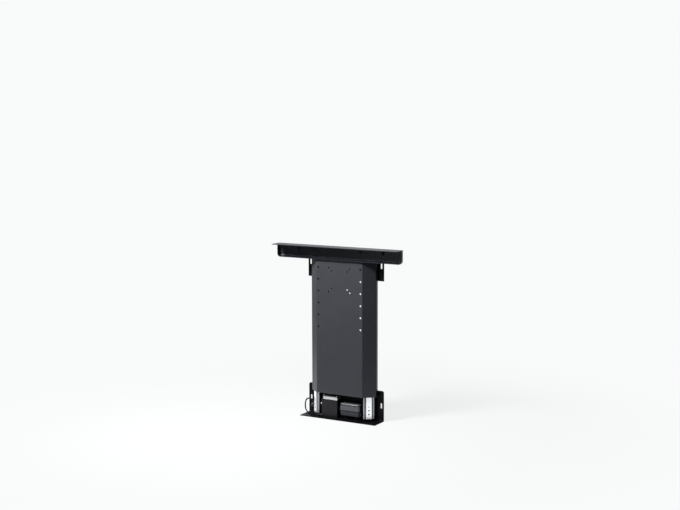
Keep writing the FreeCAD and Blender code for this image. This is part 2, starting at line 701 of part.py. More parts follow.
def top_bearing_bracket():
    """Folded plate on the rail, with a cup under it for the upper bearing."""
    front = SPINDLE_Y - BEARING_R - BEARING_BOSS_WALL - DRIVE_WALL
    back = RAIL_WEB_FRONT_Y - TOP_PLATE_T / 2
    level = TOP_PLATE_Z + TOP_PLATE_T / 2
    points = [V(front, level, 0), V(back, level, 0), V(back, RAIL_TOP_Z, 0)]
    section = sheet_section(points, TOP_PLATE_T, RAIL_BEND_R)
    plate = prism_along_x(section, SPINDLE_X - TOP_PLATE_W / 2, SPINDLE_X + TOP_PLATE_W / 2)
    bottom = UPPER_BEARING_Z - BEARING_LIP
    cup = rod(SPINDLE_X, SPINDLE_Y, bottom, TOP_PLATE_Z, BEARING_R + BEARING_BOSS_WALL)
    cup = cup.cut([rod(SPINDLE_X, SPINDLE_Y, UPPER_BEARING_Z, TOP_PLATE_Z, BEARING_R),
                   rod(SPINDLE_X, SPINDLE_Y, bottom, UPPER_BEARING_Z, JOURNAL_R + BEARING_LIP)])
    radius = SMALL_SCREW_R + SCREW_GAP
    holes = [rod_y(x, z, back - TOP_PLATE_T, RAIL_WEB_FRONT_Y, radius) for x, z in top_screw_places()]
    return plate.fuse(cup).cut(holes)


def top_bracket_screws():
    solids = []
    front = RAIL_WEB_FRONT_Y - TOP_PLATE_T
    for x, z in top_screw_places():
        head = rod_y(x, z, front - SMALL_SCREW_HEAD_H, front, SMALL_SCREW_HEAD_R)
        solids.append(head.fuse(rod_y(x, z, front, BRACKET_FRONT_Y, SMALL_SCREW_R)))
    return group(solids)


def bearing(z):
    return ring(SPINDLE_X, SPINDLE_Y, z, z + BEARING_H, JOURNAL_R + RUNNING_GAP, BEARING_R)


# ---- Drive unit ------------------------------------------------------------------------------

def hollow_block(x0, x1, y0, y1, z0, z1, wall, edge_r, floor, roof):
    """Block with rounded upright edges, hollowed to a wall, open where floor or roof is 0."""
    def block(inset, low, high):
        solid = box(x0 + inset, x1 - inset, y0 + inset, y1 - inset, low, high)
        upright_edges = [e for e in solid.Edges if e.BoundBox.ZLength > 1]
        return solid.makeFillet(edge_r - min(inset, edge_r - 0.5), upright_edges)
    low = z0 + floor if floor > 0 else z0 - 1
    high = z1 - roof if roof > 0 else z1 + 1
    return block(0, z0, z1).cut(block(wall, low, high))


def drive_housing():
    shell = hollow_block(DRIVE_LEFT_X, DRIVE_RIGHT_X, DRIVE_FRONT_Y, DRIVE_BACK_Y,
                         BASE_TOP_Z, DRIVE_TOP_Z, DRIVE_WALL, DRIVE_EDGE_R, DRIVE_WALL, 0)
    inner_x = DRIVE_LEFT_X + DRIVE_WALL
    boss_wall = SMALL_SCREW_R * 2
    bosses = []
    holes = [rod_x(GLAND_Y, GLAND_Z, DRIVE_LEFT_X - PAST, inner_x + PAST, GLAND_R),
             link_block(-FIT_GAP), socket_block(-FIT_GAP)]
    for x, y in gearbox_screw_places():
        bosses.append(rod(x, y, BASE_TOP_Z, DRIVE_TOP_Z, boss_wall))
        holes.append(rod(x, y, DRIVE_TOP_Z - SMALL_SCREW_GRIP * 2, DRIVE_TOP_Z + PAST, SMALL_SCREW_R))
    holes += [rod(x, y, BASE_TOP_Z - PAST, BASE_TOP_Z + DRIVE_WALL + PAST, SMALL_SCREW_R + SCREW_GAP)
              for x, y in housing_screw_places()]
    return shell.fuse(bosses).cut(holes)


def socket_block(inset):
    """Outside of the handset socket, drawn smaller by inset in Y and Z."""
    y = DRIVE_FRONT_Y + SOCKET_Y_INSET
    z = DRIVE_TOP_Z - SOCKET_DROP
    half_y = SOCKET_W / 2 - inset
    half_z = SOCKET_H / 2 - inset
    return box(DRIVE_LEFT_X - SOCKET_OUT, DRIVE_LEFT_X + SOCKET_IN, y - half_y, y + half_y,
               z - half_z, z + half_z)


def handset_socket():
    """Plug-in socket in the housing's left wall, open outwards."""
    cavity = socket_block(SOCKET_WALL)
    cavity.translate(V(-SOCKET_WALL, 0, 0))
    return socket_block(0).cut(cavity)


def housing_screw_places():
    xs = (DRIVE_LEFT_X + HOUSING_SCREW_INSET, DRIVE_RIGHT_X - HOUSING_SCREW_INSET)
    ys = (DRIVE_FRONT_Y + HOUSING_SCREW_INSET, DRIVE_BACK_Y - HOUSING_SCREW_INSET)
    return [(x, y) for x in xs for y in ys]


def gearbox_left_x():
    return DRIVE_LEFT_X + GEARBOX_INSET


def gearbox_screw_places():
    inset = GEARBOX_WALL + SMALL_SCREW_HEAD_R / 2
    xs = (gearbox_left_x() + inset, DRIVE_RIGHT_X - inset)
    return [(x, y) for x in xs for y in (DRIVE_FRONT_Y + inset, DRIVE_BACK_Y - inset)]


def motor_screw_places():
    return [(MOTOR_X, SPINDLE_Y - MOTOR_SCREW_CIRCLE_R), (MOTOR_X, SPINDLE_Y + MOTOR_SCREW_CIRCLE_R)]


def gearbox_case():
    """Cast case with the gears, a boss under its floor holding the spindle's lower bearing."""
    case = hollow_block(gearbox_left_x(), DRIVE_RIGHT_X, DRIVE_FRONT_Y, DRIVE_BACK_Y,
                        DRIVE_TOP_Z, GEARBOX_TOP_Z, GEARBOX_WALL, DRIVE_EDGE_R, GEARBOX_FLOOR, 0)
    boss_z = BEARING_BOTTOM_Z - BEARING_LIP
    boss = rod(SPINDLE_X, SPINDLE_Y, boss_z, GEARBOX_FLOOR_Z, BEARING_R + BEARING_BOSS_WALL)
    pillars = [rod(x, y, DRIVE_TOP_Z, GEARBOX_TOP_Z, SMALL_SCREW_R * 2) for x, y in gearbox_screw_places()]
    holes = [rod(SPINDLE_X, SPINDLE_Y, BEARING_BOTTOM_Z, BEARING_TOP_Z, BEARING_R),
             rod(SPINDLE_X, SPINDLE_Y, boss_z, GEARBOX_FLOOR_Z, GEAR_SEAT_R + BEARING_LIP / 2),
             rod(MOTOR_X, SPINDLE_Y, DRIVE_TOP_Z - PAST, GEARBOX_FLOOR_Z, MOTOR_SHAFT_R * 2)]
    for x, y in gearbox_screw_places() + motor_screw_places():
        holes.append(rod(x, y, DRIVE_TOP_Z - PAST, GEARBOX_TOP_Z + PAST, SMALL_SCREW_R + SCREW_GAP))
    return case.fuse([boss] + pillars).cut(holes)


def gearbox_lid():
    lid = box(gearbox_left_x() - GEARBOX_LID_EDGE, DRIVE_RIGHT_X, DRIVE_FRONT_Y, DRIVE_BACK_Y,
              GEARBOX_TOP_Z, LID_TOP_Z)
    lid = lid.makeFillet(DRIVE_EDGE_R, [e for e in lid.Edges if e.BoundBox.ZLength > 1])
    holes = [rod(x, y, GEARBOX_TOP_Z, LID_TOP_Z, SMALL_SCREW_R + SCREW_GAP)
             for x, y in gearbox_screw_places()]
    holes.append(rod(SPINDLE_X, SPINDLE_Y, GEARBOX_TOP_Z, LID_TOP_Z, GEAR_SEAT_R + BUFFER_GAP))
    return lid.cut(holes)


def gearbox_screws():
    tip = DRIVE_TOP_Z - SMALL_SCREW_GRIP
    return group([small_screw(x, y, tip, LID_TOP_Z) for x, y in gearbox_screw_places()])


def motor_can():
    can = rod(MOTOR_X, SPINDLE_Y, MOTOR_Z, DRIVE_TOP_Z, MOTOR_R)
    hollow = rod(MOTOR_X, SPINDLE_Y, MOTOR_Z + MOTOR_END_T, DRIVE_TOP_Z - MOTOR_END_T, MOTOR_R - MOTOR_WALL)
    shaft = rod(MOTOR_X, SPINDLE_Y, MOTOR_Z - PAST, DRIVE_TOP_Z + PAST, MOTOR_SHAFT_R + RUNNING_GAP)
    screws = [rod(x, y, DRIVE_TOP_Z - MOTOR_END_T - PAST, DRIVE_TOP_Z + PAST, SMALL_SCREW_R + SCREW_GAP)
              for x, y in motor_screw_places()]
    return can.cut([hollow, shaft] + screws)


def motor_magnets():
    outer = MOTOR_R - MOTOR_WALL
    low = MOTOR_Z + MOTOR_END_T + MAGNET_END_GAP
    high = DRIVE_TOP_Z - MOTOR_END_T - MAGNET_END_GAP
    tube = ring(MOTOR_X, SPINDLE_Y, low, high, outer - MAGNET_T, outer)
    split = box(MOTOR_X - outer, MOTOR_X + outer, SPINDLE_Y - MAGNET_T, SPINDLE_Y + MAGNET_T, low, high)
    return group(tube.cut(split).Solids)


def armature():
    """Motor shaft with its winding, running up into the gearbox."""
    low = MOTOR_Z + MOTOR_END_T + ARMATURE_END_GAP
    high = DRIVE_TOP_Z - MOTOR_END_T - ARMATURE_END_GAP
    shaft = rod(MOTOR_X, SPINDLE_Y, MOTOR_Z, GEAR_Z + GEAR_H + PINION_EXTRA_H, MOTOR_SHAFT_R)
    return shaft.fuse(rod(MOTOR_X, SPINDLE_Y, low, high, ARMATURE_R))


def motor_screws():
    solids = []
    for x, y in motor_screw_places():
        shank = rod(x, y, DRIVE_TOP_Z - MOTOR_END_T, GEARBOX_FLOOR_Z, SMALL_SCREW_R)
        head = rod(x, y, GEARBOX_FLOOR_Z, GEARBOX_FLOOR_Z + GEAR_LIFT - FIT_GAP * 2, SMALL_SCREW_R * 1.5)
        solids.append(shank.fuse(head))
    return group(solids)


def gear_section(teeth, start_angle):
    """Spur gear section with each involute flank as one arc, first tooth at start_angle."""
    pitch_r = GEAR_MODULE * teeth / 2
    base_r = pitch_r * math.cos(PRESSURE_ANGLE)
    root_r = pitch_r - 1.25 * GEAR_MODULE
    tip_r = pitch_r + GEAR_MODULE * 0.95
    flank_r = max(base_r, root_r + 0.05)

    def involute(radius):
        ratio = min(1.0, base_r / radius)
        angle = math.acos(ratio)
        return math.tan(angle) - angle

    half_tooth = (math.pi * GEAR_MODULE / 2 - GEAR_THINNING) / 2 / pitch_r

    def half_angle(radius):
        return half_tooth + involute(pitch_r) - involute(radius)

    def at(radius, angle):
        return V(radius * math.cos(angle), radius * math.sin(angle), 0)

    edges = []
    step = 2 * math.pi / teeth
    for k in range(teeth):
        centre = start_angle + k * step
        flank = [(r, half_angle(r)) for r in (flank_r, (flank_r + tip_r) / 2, tip_r)]
        rising = [at(r, centre - a) for r, a in flank]
        falling = [at(r, centre + a) for r, a in flank]
        foot = half_angle(flank_r)
        edges.append(Part.LineSegment(at(root_r, centre - foot), rising[0]).toShape())
        edges.append(Part.Arc(*rising).toShape())
        edges.append(Part.LineSegment(rising[2], falling[2]).toShape())
        edges.append(Part.Arc(*falling[::-1]).toShape())
        edges.append(Part.LineSegment(falling[0], at(root_r, centre + foot)).toShape())
        root_end = at(root_r, centre + step - foot)
        edges.append(Part.LineSegment(at(root_r, centre + foot), root_end).toShape())
    return Part.Face(Part.Wire(edges))


def spindle_gear():
    """Wheel on the spindle, with a tooth gap towards the motor."""
    wheel = upright_prism(gear_section(GEAR_TEETH, math.pi / GEAR_TEETH), GEAR_Z, GEAR_Z + GEAR_H)
    wheel.translate(V(SPINDLE_X, SPINDLE_Y, 0))
    bore_r = GEAR_SEAT_R + SEAT_GAP
    return wheel.cut(rod(SPINDLE_X, SPINDLE_Y, GEAR_Z - PAST, GEAR_Z + GEAR_H + PAST, bore_r))


def motor_pinion():
    """Pinion on the motor shaft, with a tooth towards the spindle."""
    top = GEAR_Z + GEAR_H + PINION_EXTRA_H
    low = GEAR_Z - GEAR_LIFT / 3
    pinion = upright_prism(gear_section(PINION_TEETH, math.pi), low, top)
    pinion.translate(V(MOTOR_X, SPINDLE_Y, 0))
    return pinion.cut(rod(MOTOR_X, SPINDLE_Y, low - PAST, top + PAST, MOTOR_SHAFT_R + SEAT_GAP))


def spindle():
    """Threaded spindle drawn at its outside diameter, with a journal at each end."""
    low = BEARING_BOTTOM_Z - BEARING_LIP / 2
    seat = BEARING_TOP_Z + RUNNING_GAP
    thread_top = UPPER_BEARING_Z - BEARING_LIP - RUNNING_GAP
    solids = [rod(SPINDLE_X, SPINDLE_Y, seat, THREAD_Z, GEAR_SEAT_R),
              rod(SPINDLE_X, SPINDLE_Y, THREAD_Z, thread_top, SPINDLE_R),
              rod(SPINDLE_X, SPINDLE_Y, thread_top, UPPER_BEARING_Z + BEARING_H, JOURNAL_R)]
    return rod(SPINDLE_X, SPINDLE_Y, low, seat, JOURNAL_R).fuse(solids)


def stop_buffer(z, height, radius):
    return ring(SPINDLE_X, SPINDLE_Y, z, z + height, SPINDLE_R + BUFFER_GAP, radius)


# ---- Control box -------------------------------------------------------------------------------

def control_shell():
    """The whole box, before it is split at its seam."""
    solid = box(CONTROL_LEFT_X, CONTROL_RIGHT_X, CONTROL_FRONT_Y, CONTROL_BACK_Y, CONTROL_Z, CONTROL_TOP_Z)
    solid = solid.makeFillet(CONTROL_EDGE_R, [e for e in solid.Edges if e.BoundBox.ZLength > 1])
    top = [e for e in solid.Edges if e.BoundBox.ZMin > CONTROL_TOP_Z - 0.01]
    solid = solid.makeFillet(CONTROL_TOP_R, top)
    wall = CONTROL_WALL
    hollow = box(CONTROL_LEFT_X + wall, CONTROL_RIGHT_X - wall, CONTROL_FRONT_Y + wall,
                 CONTROL_BACK_Y - wall, CONTROL_FLOOR_Z, CONTROL_TOP_Z - wall)
    hollow = hollow.makeFillet(CONTROL_EDGE_R - wall, [e for e in hollow.Edges if e.BoundBox.ZLength > 1])
    return solid.cut(hollow)


def spacer_places():
    xs = (CONTROL_LEFT_X + SPACER_INSET_X, CONTROL_RIGHT_X - SPACER_INSET_X)
    ys = (CONTROL_FRONT_Y + SPACER_INSET_Y, CONTROL_BACK_Y - SPACER_INSET_Y)
    return [(x, y) for x in xs for y in ys]


def board_post_places():
    xs = (BOARD_X + BOARD_POST_INSET, BOARD_X + BOARD_W - BOARD_POST_INSET)
    ys = (BOARD_Y + BOARD_POST_INSET, BOARD_Y + BOARD_DEPTH - BOARD_POST_INSET)
    return [(x, y) for x in xs for y in ys]


def link_block(inset):
    """Plug that joins the two housings, drawn smaller by inset on each side but its ends."""
    half = LINK_W / 2 - inset
    low = CONTROL_FLOOR_Z + LINK_Z + inset
    return box(DRIVE_RIGHT_X - DRIVE_WALL, CONTROL_LEFT_X + CONTROL_WALL, MIDDLE_Y - half, MIDDLE_Y + half,
               low, CONTROL_FLOOR_Z + LINK_Z + LINK_H - inset)


def inlet_opening():
    low = CONTROL_FLOOR_Z + INLET_Z
    half = INLET_W / 2 + FIT_GAP
    return box(CONTROL_RIGHT_X - CONTROL_WALL - PAST, CONTROL_RIGHT_X + PAST, MIDDLE_Y - half,
               MIDDLE_Y + half, low - FIT_GAP, low + INLET_H + FIT_GAP)


def below(z):
    reach = BRACKET_W
    return box(-reach, reach, -reach, reach, -reach, z)


def control_box_lower():
    shell = control_shell().common(below(CONTROL_SEAM_Z - SEAM_GAP / 2))
    posts = [rod(x, y, CONTROL_Z, BOARD_BOTTOM_Z, BOARD_POST_R) for x, y in board_post_places()]
    holes = [rod(x, y, CONTROL_Z - PAST, CONTROL_FLOOR_Z + PAST, SMALL_SCREW_R + SCREW_GAP)
             for x, y in spacer_places()]
    holes += [rod(x, y, BOARD_BOTTOM_Z - SMALL_SCREW_GRIP, BOARD_BOTTOM_Z + PAST, BOARD_SCREW_R)
              for x, y in board_post_places()]
    return shell.fuse(posts).cut(holes + [link_block(-FIT_GAP), inlet_opening()])


def control_box_upper():
    """Upper shell with a tongue that reaches down inside the lower one."""
    shell = control_shell().cut(below(CONTROL_SEAM_Z + SEAM_GAP / 2))
    top = CONTROL_SEAM_Z + CONTROL_WALL
    tongue = control_band(CONTROL_WALL + FIT_GAP / 2, CONTROL_WALL / 2, CONTROL_SEAM_Z - CONTROL_WALL, top)
    root = control_band(CONTROL_WALL / 2, CONTROL_WALL, CONTROL_SEAM_Z + SEAM_GAP / 2, top)
    return shell.fuse([tongue, root]).cut(link_block(-FIT_GAP))


def control_band(inset, thickness, z0, z1):
    """Ring of wall that follows the box's outline, inset from its outer faces."""
    return hollow_block(CONTROL_LEFT_X + inset, CONTROL_RIGHT_X - inset, CONTROL_FRONT_Y + inset,
                        CONTROL_BACK_Y - inset, z0, z1, thickness, CONTROL_EDGE_R - inset, 0, 0)


def control_box_spacers():
    return group([ring(x, y, BASE_TOP_Z, CONTROL_Z, SMALL_SCREW_R + SCREW_GAP, SPACER_R)
                  for x, y in spacer_places()])


def small_screw(x, y, tip_z, head_z):
    """Screw from above, its head standing on head_z."""
    head = rod(x, y, head_z, head_z + SMALL_SCREW_HEAD_H, SMALL_SCREW_HEAD_R)
    return head.fuse(rod(x, y, tip_z, head_z, SMALL_SCREW_R))


def base_screws():
    """Screws from inside the two housings into tapped holes in the base plate."""
    solids = [small_screw(x, y, FRAME_SCREW_END, CONTROL_FLOOR_Z) for x, y in spacer_places()]
    floor = BASE_TOP_Z + DRIVE_WALL
    solids += [small_screw(x, y, FRAME_SCREW_END, floor) for x, y in housing_screw_places()]
    return group(solids)


def circuit_board():
    board = box(BOARD_X, BOARD_X + BOARD_W, BOARD_Y, BOARD_Y + BOARD_DEPTH, BOARD_BOTTOM_Z, BOARD_TOP_Z)
    return board.cut([rod(x, y, BOARD_BOTTOM_Z - PAST, BOARD_TOP_Z + PAST, BOARD_SCREW_R + SCREW_GAP)
                      for x, y in board_post_places()])


def board_screws():
    solids = []
    for x, y in board_post_places():
        shank = rod(x, y, BOARD_BOTTOM_Z - SMALL_SCREW_GRIP, BOARD_TOP_Z, BOARD_SCREW_R)
        head = rod(x, y, BOARD_TOP_Z, BOARD_TOP_Z + BOARD_SCREW_HEAD_H, BOARD_SCREW_HEAD_R)
        solids.append(shank.fuse(head))
    return group(solids)


def board_block(x, y, size):
    return box(x, x + size[0], y, y + size[1], BOARD_TOP_Z, BOARD_TOP_Z + size[2])


def transformer():
    return board_block(BOARD_X + BOARD_W - PART_EDGE - TRANSFORMER[0], MIDDLE_Y - TRANSFORMER[1] / 2,
                       TRANSFORMER)


def relays():
    x = BOARD_X + PART_EDGE
    gap = BOARD_T
    return group([board_block(x, MIDDLE_Y - gap / 2 - RELAY[1], RELAY),
                  board_block(x, MIDDLE_Y + gap / 2, RELAY)])


def capacitor():
    x = BOARD_X + PART_EDGE + RELAY[0] + CAPACITOR_R + BOARD_T
    return rod(x, MIDDLE_Y, BOARD_TOP_Z, BOARD_TOP_Z + CAPACITOR_H, CAPACITOR_R)


def mains_inlet():
    """Inlet in the box's right wall, open outwards, with one bar for the contacts."""
    low = CONTROL_FLOOR_Z + INLET_Z
    high = low + INLET_H
    face = CONTROL_RIGHT_X + INLET_FLANGE_T
    half = INLET_W / 2
    edge = INLET_FLANGE
    body = box(face - INLET_L, CONTROL_RIGHT_X, MIDDLE_Y - half, MIDDLE_Y + half, low, high)
    flange = box(CONTROL_RIGHT_X, face, MIDDLE_Y - half - edge, MIDDLE_Y + half + edge, low - edge,
                 high + edge)
    flange = flange.makeFillet(edge, [e for e in flange.Edges if e.BoundBox.XLength > 1])
    rim = INLET_RIM
    cavity = box(face - INLET_CAVITY, face + PAST, MIDDLE_Y - half + rim, MIDDLE_Y + half - rim, low + rim,
                 high - rim)
    cavity = cavity.makeFillet(rim, [e for e in cavity.Edges if e.BoundBox.XLength > 1])
    bar = box(face - INLET_CAVITY - PAST, face - rim, MIDDLE_Y - half / 2, MIDDLE_Y + half / 2,
              low + INLET_H / 2 - rim / 2, low + INLET_H / 2 + rim / 2)
    return body.fuse(flange).cut(cavity).fuse(bar)


# ---- Receiver and its lead -----------------------------------------------------------------------

def receiver_x():
    """The receiver stands beside the left upright."""
    return -upright_corner().x - RECEIVER_OFFSET


def receiver():
    left = receiver_x() - RECEIVER_W / 2
    block = box(left, left + RECEIVER_W, BRACKET_FRONT_Y - RECEIVER_DEPTH, BRACKET_FRONT_Y,
                RECEIVER_Z, RECEIVER_TOP_Z)
    front = [e for e in block.Edges if e.BoundBox.YMax < BRACKET_FRONT_Y - 1]
    return block.makeFillet(RECEIVER_EDGE_R, front)


def lead_gland():
    """Moulded gland in the drive housing's left wall, closed round the lead."""
    inner = DRIVE_LEFT_X + DRIVE_WALL
    end = DRIVE_LEFT_X - GLAND_L
    body = rod_x(GLAND_Y, GLAND_Z, end, inner, GLAND_R)
    collar = rod_x(GLAND_Y, GLAND_Z, DRIVE_LEFT_X - GLAND_COLLAR_L, DRIVE_LEFT_X, GLAND_COLLAR_R)
    return body.fuse(collar)


def lead_route():
    """From the receiver's top to the gland: it rises, loops out past the bracket's end, drops
    and lies on the base plate."""
    start = V(receiver_x(), BRACKET_FRONT_Y - RECEIVER_DEPTH / 2, RECEIVER_TOP_Z)
    end = V(DRIVE_LEFT_X - GLAND_L, GLAND_Y, GLAND_Z)
    points = [start, start + Z_AXIS * LEAD_RISE]
    points += [V(start.x + x, y, z) for x, y, z in LEAD_LOOP]
    points += [V(start.x + share * (end.x - start.x), y, LEAD_BASE_Z + up) for share, y, up in LEAD_RUN]
    return points + [end - X_AXIS * LEAD_STRAIGHT, end]


def receiver_lead():
    """Round tube on straight runs joined by tangent arcs. The radii are printed."""
    points = lead_route()
    edges = []
    radii = []
    at = points[0]
    for before, point, after in zip(points, points[1:], points[2:]):
        shorter = min((point - before).Length, (after - point).Length)
        half_turn = (point - before).getAngle(after - point) / 2
        radius = 0.45 * shorter / math.tan(half_turn)
        radii.append(radius)
        start, middle, end = corner(before, point, after, radius)
        edges.append(Part.LineSegment(at, start).toShape())
        edges.append(Part.Arc(start, middle, end).toShape())
        at = end
    edges.append(Part.LineSegment(at, points[-1]).toShape())
    path = Part.Wire(edges)
    section = Part.Wire(Part.Circle(points[0], points[1] - points[0], LEAD_R).toShape())
    tube = path.makePipeShell([section], True, True)
    expected = math.pi * LEAD_R ** 2 * path.Length
    print("lead length %.1f, volume share %.4f, radii %s"
          % (path.Length, tube.Volume / expected, [round(r, 1) for r in radii]))
    return tube


# ---- Moving pieces: lifted with the television -----------------------------------------------------

def cover():
    half = COVER_FACE_W / 2
    mid = COVER_T / 2
    bevel_x = half + COVER_BEVEL_X
    side_y = COVER_FRONT_Y + COVER_BEVEL_Y
    edge_y = side_y + COVER_SIDE
    tilt = math.atan2(COVER_BEVEL_Y, COVER_BEVEL_X)
    face_x = half - mid * math.tan(tilt / 2)
    side_bend_y = side_y + mid * math.tan((math.pi / 2 - tilt) / 2)
    side_x = bevel_x - mid
    right = [V(face_x, COVER_FRONT_Y + mid, 0), V(side_x, side_bend_y, 0), V(side_x, edge_y, 0)]
    left = [V(-p.x, p.y, 0) for p in right[::-1]]
    shell = upright_prism(sheet_section(left + right, COVER_T, COVER_BEND_R), COVER_Z, COVER_TOP_Z)
    holes = []
    back = COVER_FRONT_Y + COVER_T + 1
    for row in range(ROW_COUNT):
        for x in (-COLUMN_SPACING / 2, COLUMN_SPACING / 2):
            holes.append(rod_y(x, TOP_ROW_Z - row * ROW_PITCH, COVER_FRONT_Y - PAST, back, COLUMN_HOLE_R))
    centre_z = TOP_ROW_Z - VESA_SIZES[0] / 2
    for size in VESA_SIZES:
        for x in (-size / 2, size / 2):
            for z in (centre_z - size / 2, centre_z + size / 2):
                holes.append(rod_y(x, z, COVER_FRONT_Y - PAST, back, VESA_HOLE_R))
    return shell.cut(holes)


def slide_inner(side):
    wall = INNER_HALF_W - SLIDE_T / 2
    base = SLIDE_T / 2
    points = [slide_point(wall, INNER_DEPTH), slide_point(wall, base)]
    points += [slide_point(-wall, base), slide_point(-wall, INNER_DEPTH)]
    member = upright_prism(sheet_section(points, SLIDE_T, SLIDE_BEND_R), SLIDE_Z, SLIDE_TOP_Z)
    holes = [slide_rod(0, z, -PAST, SLIDE_T + PAST, RIVET_R + SCREW_GAP) for z in STUD_Z]
    for k, radius in enumerate(SLIDE_END_HOLE_RADII):
        z = SLIDE_Z + SLIDE_END_HOLE_Z + k * SLIDE_END_HOLE_PITCH
        holes.append(slide_rod(0, z, -PAST, SLIDE_T + PAST, radius))
    return on_side(member.cut(holes), side)


def slide_middle(side):
    section = slide_channel(MIDDLE_HALF_W, MIDDLE_LIP_DEPTH, MIDDLE_BACK_DEPTH, SLIDE_LIP, SLIDE_T,
                            SLIDE_BEND_R)
    return on_side(upright_prism(section, SLIDE_Z, SLIDE_TOP_Z), side)


def ball_cage(side, wall, front, base, ball_r, ball_depth):
    """Folded strip with a finger on each side that holds a row of balls."""
    section = slide_channel(wall + CAGE_T / 2, front, base + CAGE_T, 0, CAGE_T, SLIDE_BEND_R / 2)
    strip = upright_prism(section, CAGE_Z, CAGE_Z + CAGE_L)
    balls = []
    holes = []
    first = CAGE_Z + (CAGE_L - BALL_PITCH * (BALLS_PER_ROW - 1)) / 2
    for across in (-wall, wall):
        for k in range(BALLS_PER_ROW):
            centre = slide_point(across, ball_depth) + V(0, 0, first + k * BALL_PITCH)
            balls.append(Part.makeSphere(ball_r, centre))
            start = centre - BEVEL_ALONG * CAGE_T
            holes.append(Part.makeCylinder(ball_r + SCREW_GAP, 2 * CAGE_T, start, BEVEL_ALONG))
    return group([on_side(s, side) for s in [strip.cut(holes)] + balls])


def outer_cage(side):
    depth = (OUTER_LIP_DEPTH + SLIDE_T + OUTER_CAGE_BASE) / 2
    return ball_cage(side, OUTER_BALL_W, OUTER_CAGE_FRONT, OUTER_CAGE_BASE, OUTER_BALL_R, depth)


def inner_cage(side):
    depth = (MIDDLE_LIP_DEPTH + SLIDE_T + INNER_CAGE_BASE) / 2
    return ball_cage(side, INNER_BALL_W, INNER_CAGE_FRONT, INNER_CAGE_BASE, INNER_BALL_R, depth)


def cover_studs():
    """Welded to the inside of the bevels; they carry the slides' inner members."""
    length = SLIDE_T + STUD_NUT_H
    return group([on_side(slide_rod(0, z, 0, length, RIVET_R), side)
                  for _, side in SIDES for z in STUD_Z])


def stud_nuts():
    solids = []
    tilt = V(0, 0, 1).cross(BEVEL_INWARD)
    for _, side in SIDES:
        for z in STUD_Z:
            nut = hexagon(0, 0, 0, STUD_NUT_AF, STUD_NUT_H, "z")
            nut = nut.cut(rod(0, 0, -PAST, STUD_NUT_H + PAST, RIVET_R + SCREW_GAP))
            nut.rotate(ORIGIN, tilt, 90)
            seat = slide_point(0, SLIDE_T)
            nut.translate(V(seat.x, seat.y, z))
            solids.append(on_side(nut, side))
    return group(solids)


def lid_bracket_pan(inset, back_y, bend_r, top_bend_r):
    """Web and rim as one solid block, inset all round and rounded along its bends."""
    half = LID_BRACKET_W / 2 - inset
    low = LID_BRACKET_BOTTOM_Z + inset
    high = OVERALL_H - inset
    front = LID_RIM_FRONT_Y - inset
    block = box(-half, half, front, back_y, low, high)
    corners = [e for e in block.Edges if e.BoundBox.YLength > 1 and e.BoundBox.ZMax < low + 1]
    block = block.makeFillet(LID_CORNER_R - inset, corners)
    top = [e for e in block.Edges if e.BoundBox.YMin > back_y - 0.01 and e.BoundBox.ZMin > high - 0.01]
    block = block.makeFillet(top_bend_r, top)
    back = [e for e in block.Edges if e.BoundBox.YMin > back_y - 0.01 and e.BoundBox.ZMin < high - 1
            and e.BoundBox.ZMin < high - top_bend_r - 1]
    return block.makeFillet(bend_r, back)


def lid_bracket():
    outer_top_r = LID_TOP_BEND_R + LID_BRACKET_T
    pan = lid_bracket_pan(0, LID_WEB_BACK_Y, LID_BEND_R + LID_BRACKET_T, outer_top_r)
    pan = pan.cut(lid_bracket_pan(LID_BRACKET_T, LID_WEB_FRONT_Y, LID_BEND_R, LID_TOP_BEND_R))
    half = LID_BRACKET_W / 2
    plate_back = LID_WEB_FRONT_Y - LID_TOP_BEND_R
    plate = box(-half, half, LID_FRONT_Y, plate_back, LID_PLATE_BOTTOM_Z, OVERALL_H)
    corners = [e for e in plate.Edges if e.BoundBox.ZLength > 1 and e.BoundBox.YMax < LID_FRONT_Y + 1]
    plate = plate.makeFillet(LID_PLATE_CORNER_R, corners)
    ribs = [lid_rib(x) for x in (-LID_RIB_X, LID_RIB_X)]
    holes = [rod_y(x, BOLT_Z, LID_WEB_FRONT_Y - PAST, LID_WEB_BACK_Y + PAST, BOLT_R + BOLT_HOLE_GAP)
             for x in (-COLUMN_SPACING / 2, COLUMN_SPACING / 2)]
    row_y = LID_FRONT_Y + LID_SCREW_INSET
    for x in (-LID_SCREW_SPACING_X / 2, LID_SCREW_SPACING_X / 2):
        for y in (row_y, row_y + LID_SCREW_SPACING_Y):
            holes.append(rod(x, y, LID_PLATE_BOTTOM_Z - PAST, OVERALL_H + PAST, LID_SCREW_R))
    return pan.fuse([plate] + ribs).cut(holes)


def lid_rib(x):
    """Stiffening rib across the corner of web and plate, rounded along its ridge."""
    front = LID_WEB_FRONT_Y
    top = LID_PLATE_BOTTOM_Z
    sink = LID_BRACKET_T / 2
    leg = LID_RIB_LEG
    points = [V(front + sink, top + sink, 0), V(front + sink, top - leg - sink, 0),
              V(front - leg - sink, top + sink, 0)]
    wedge = prism_along_x(outline(points, [0, 0, 0]), x - LID_RIB_W / 2, x + LID_RIB_W / 2)
    ridge = [e for e in wedge.Edges
             if e.BoundBox.YLength > leg and e.BoundBox.ZLength > leg and e.BoundBox.XLength < 1]
    return wedge.makeFillet(LID_RIB_ROUND, ridge)


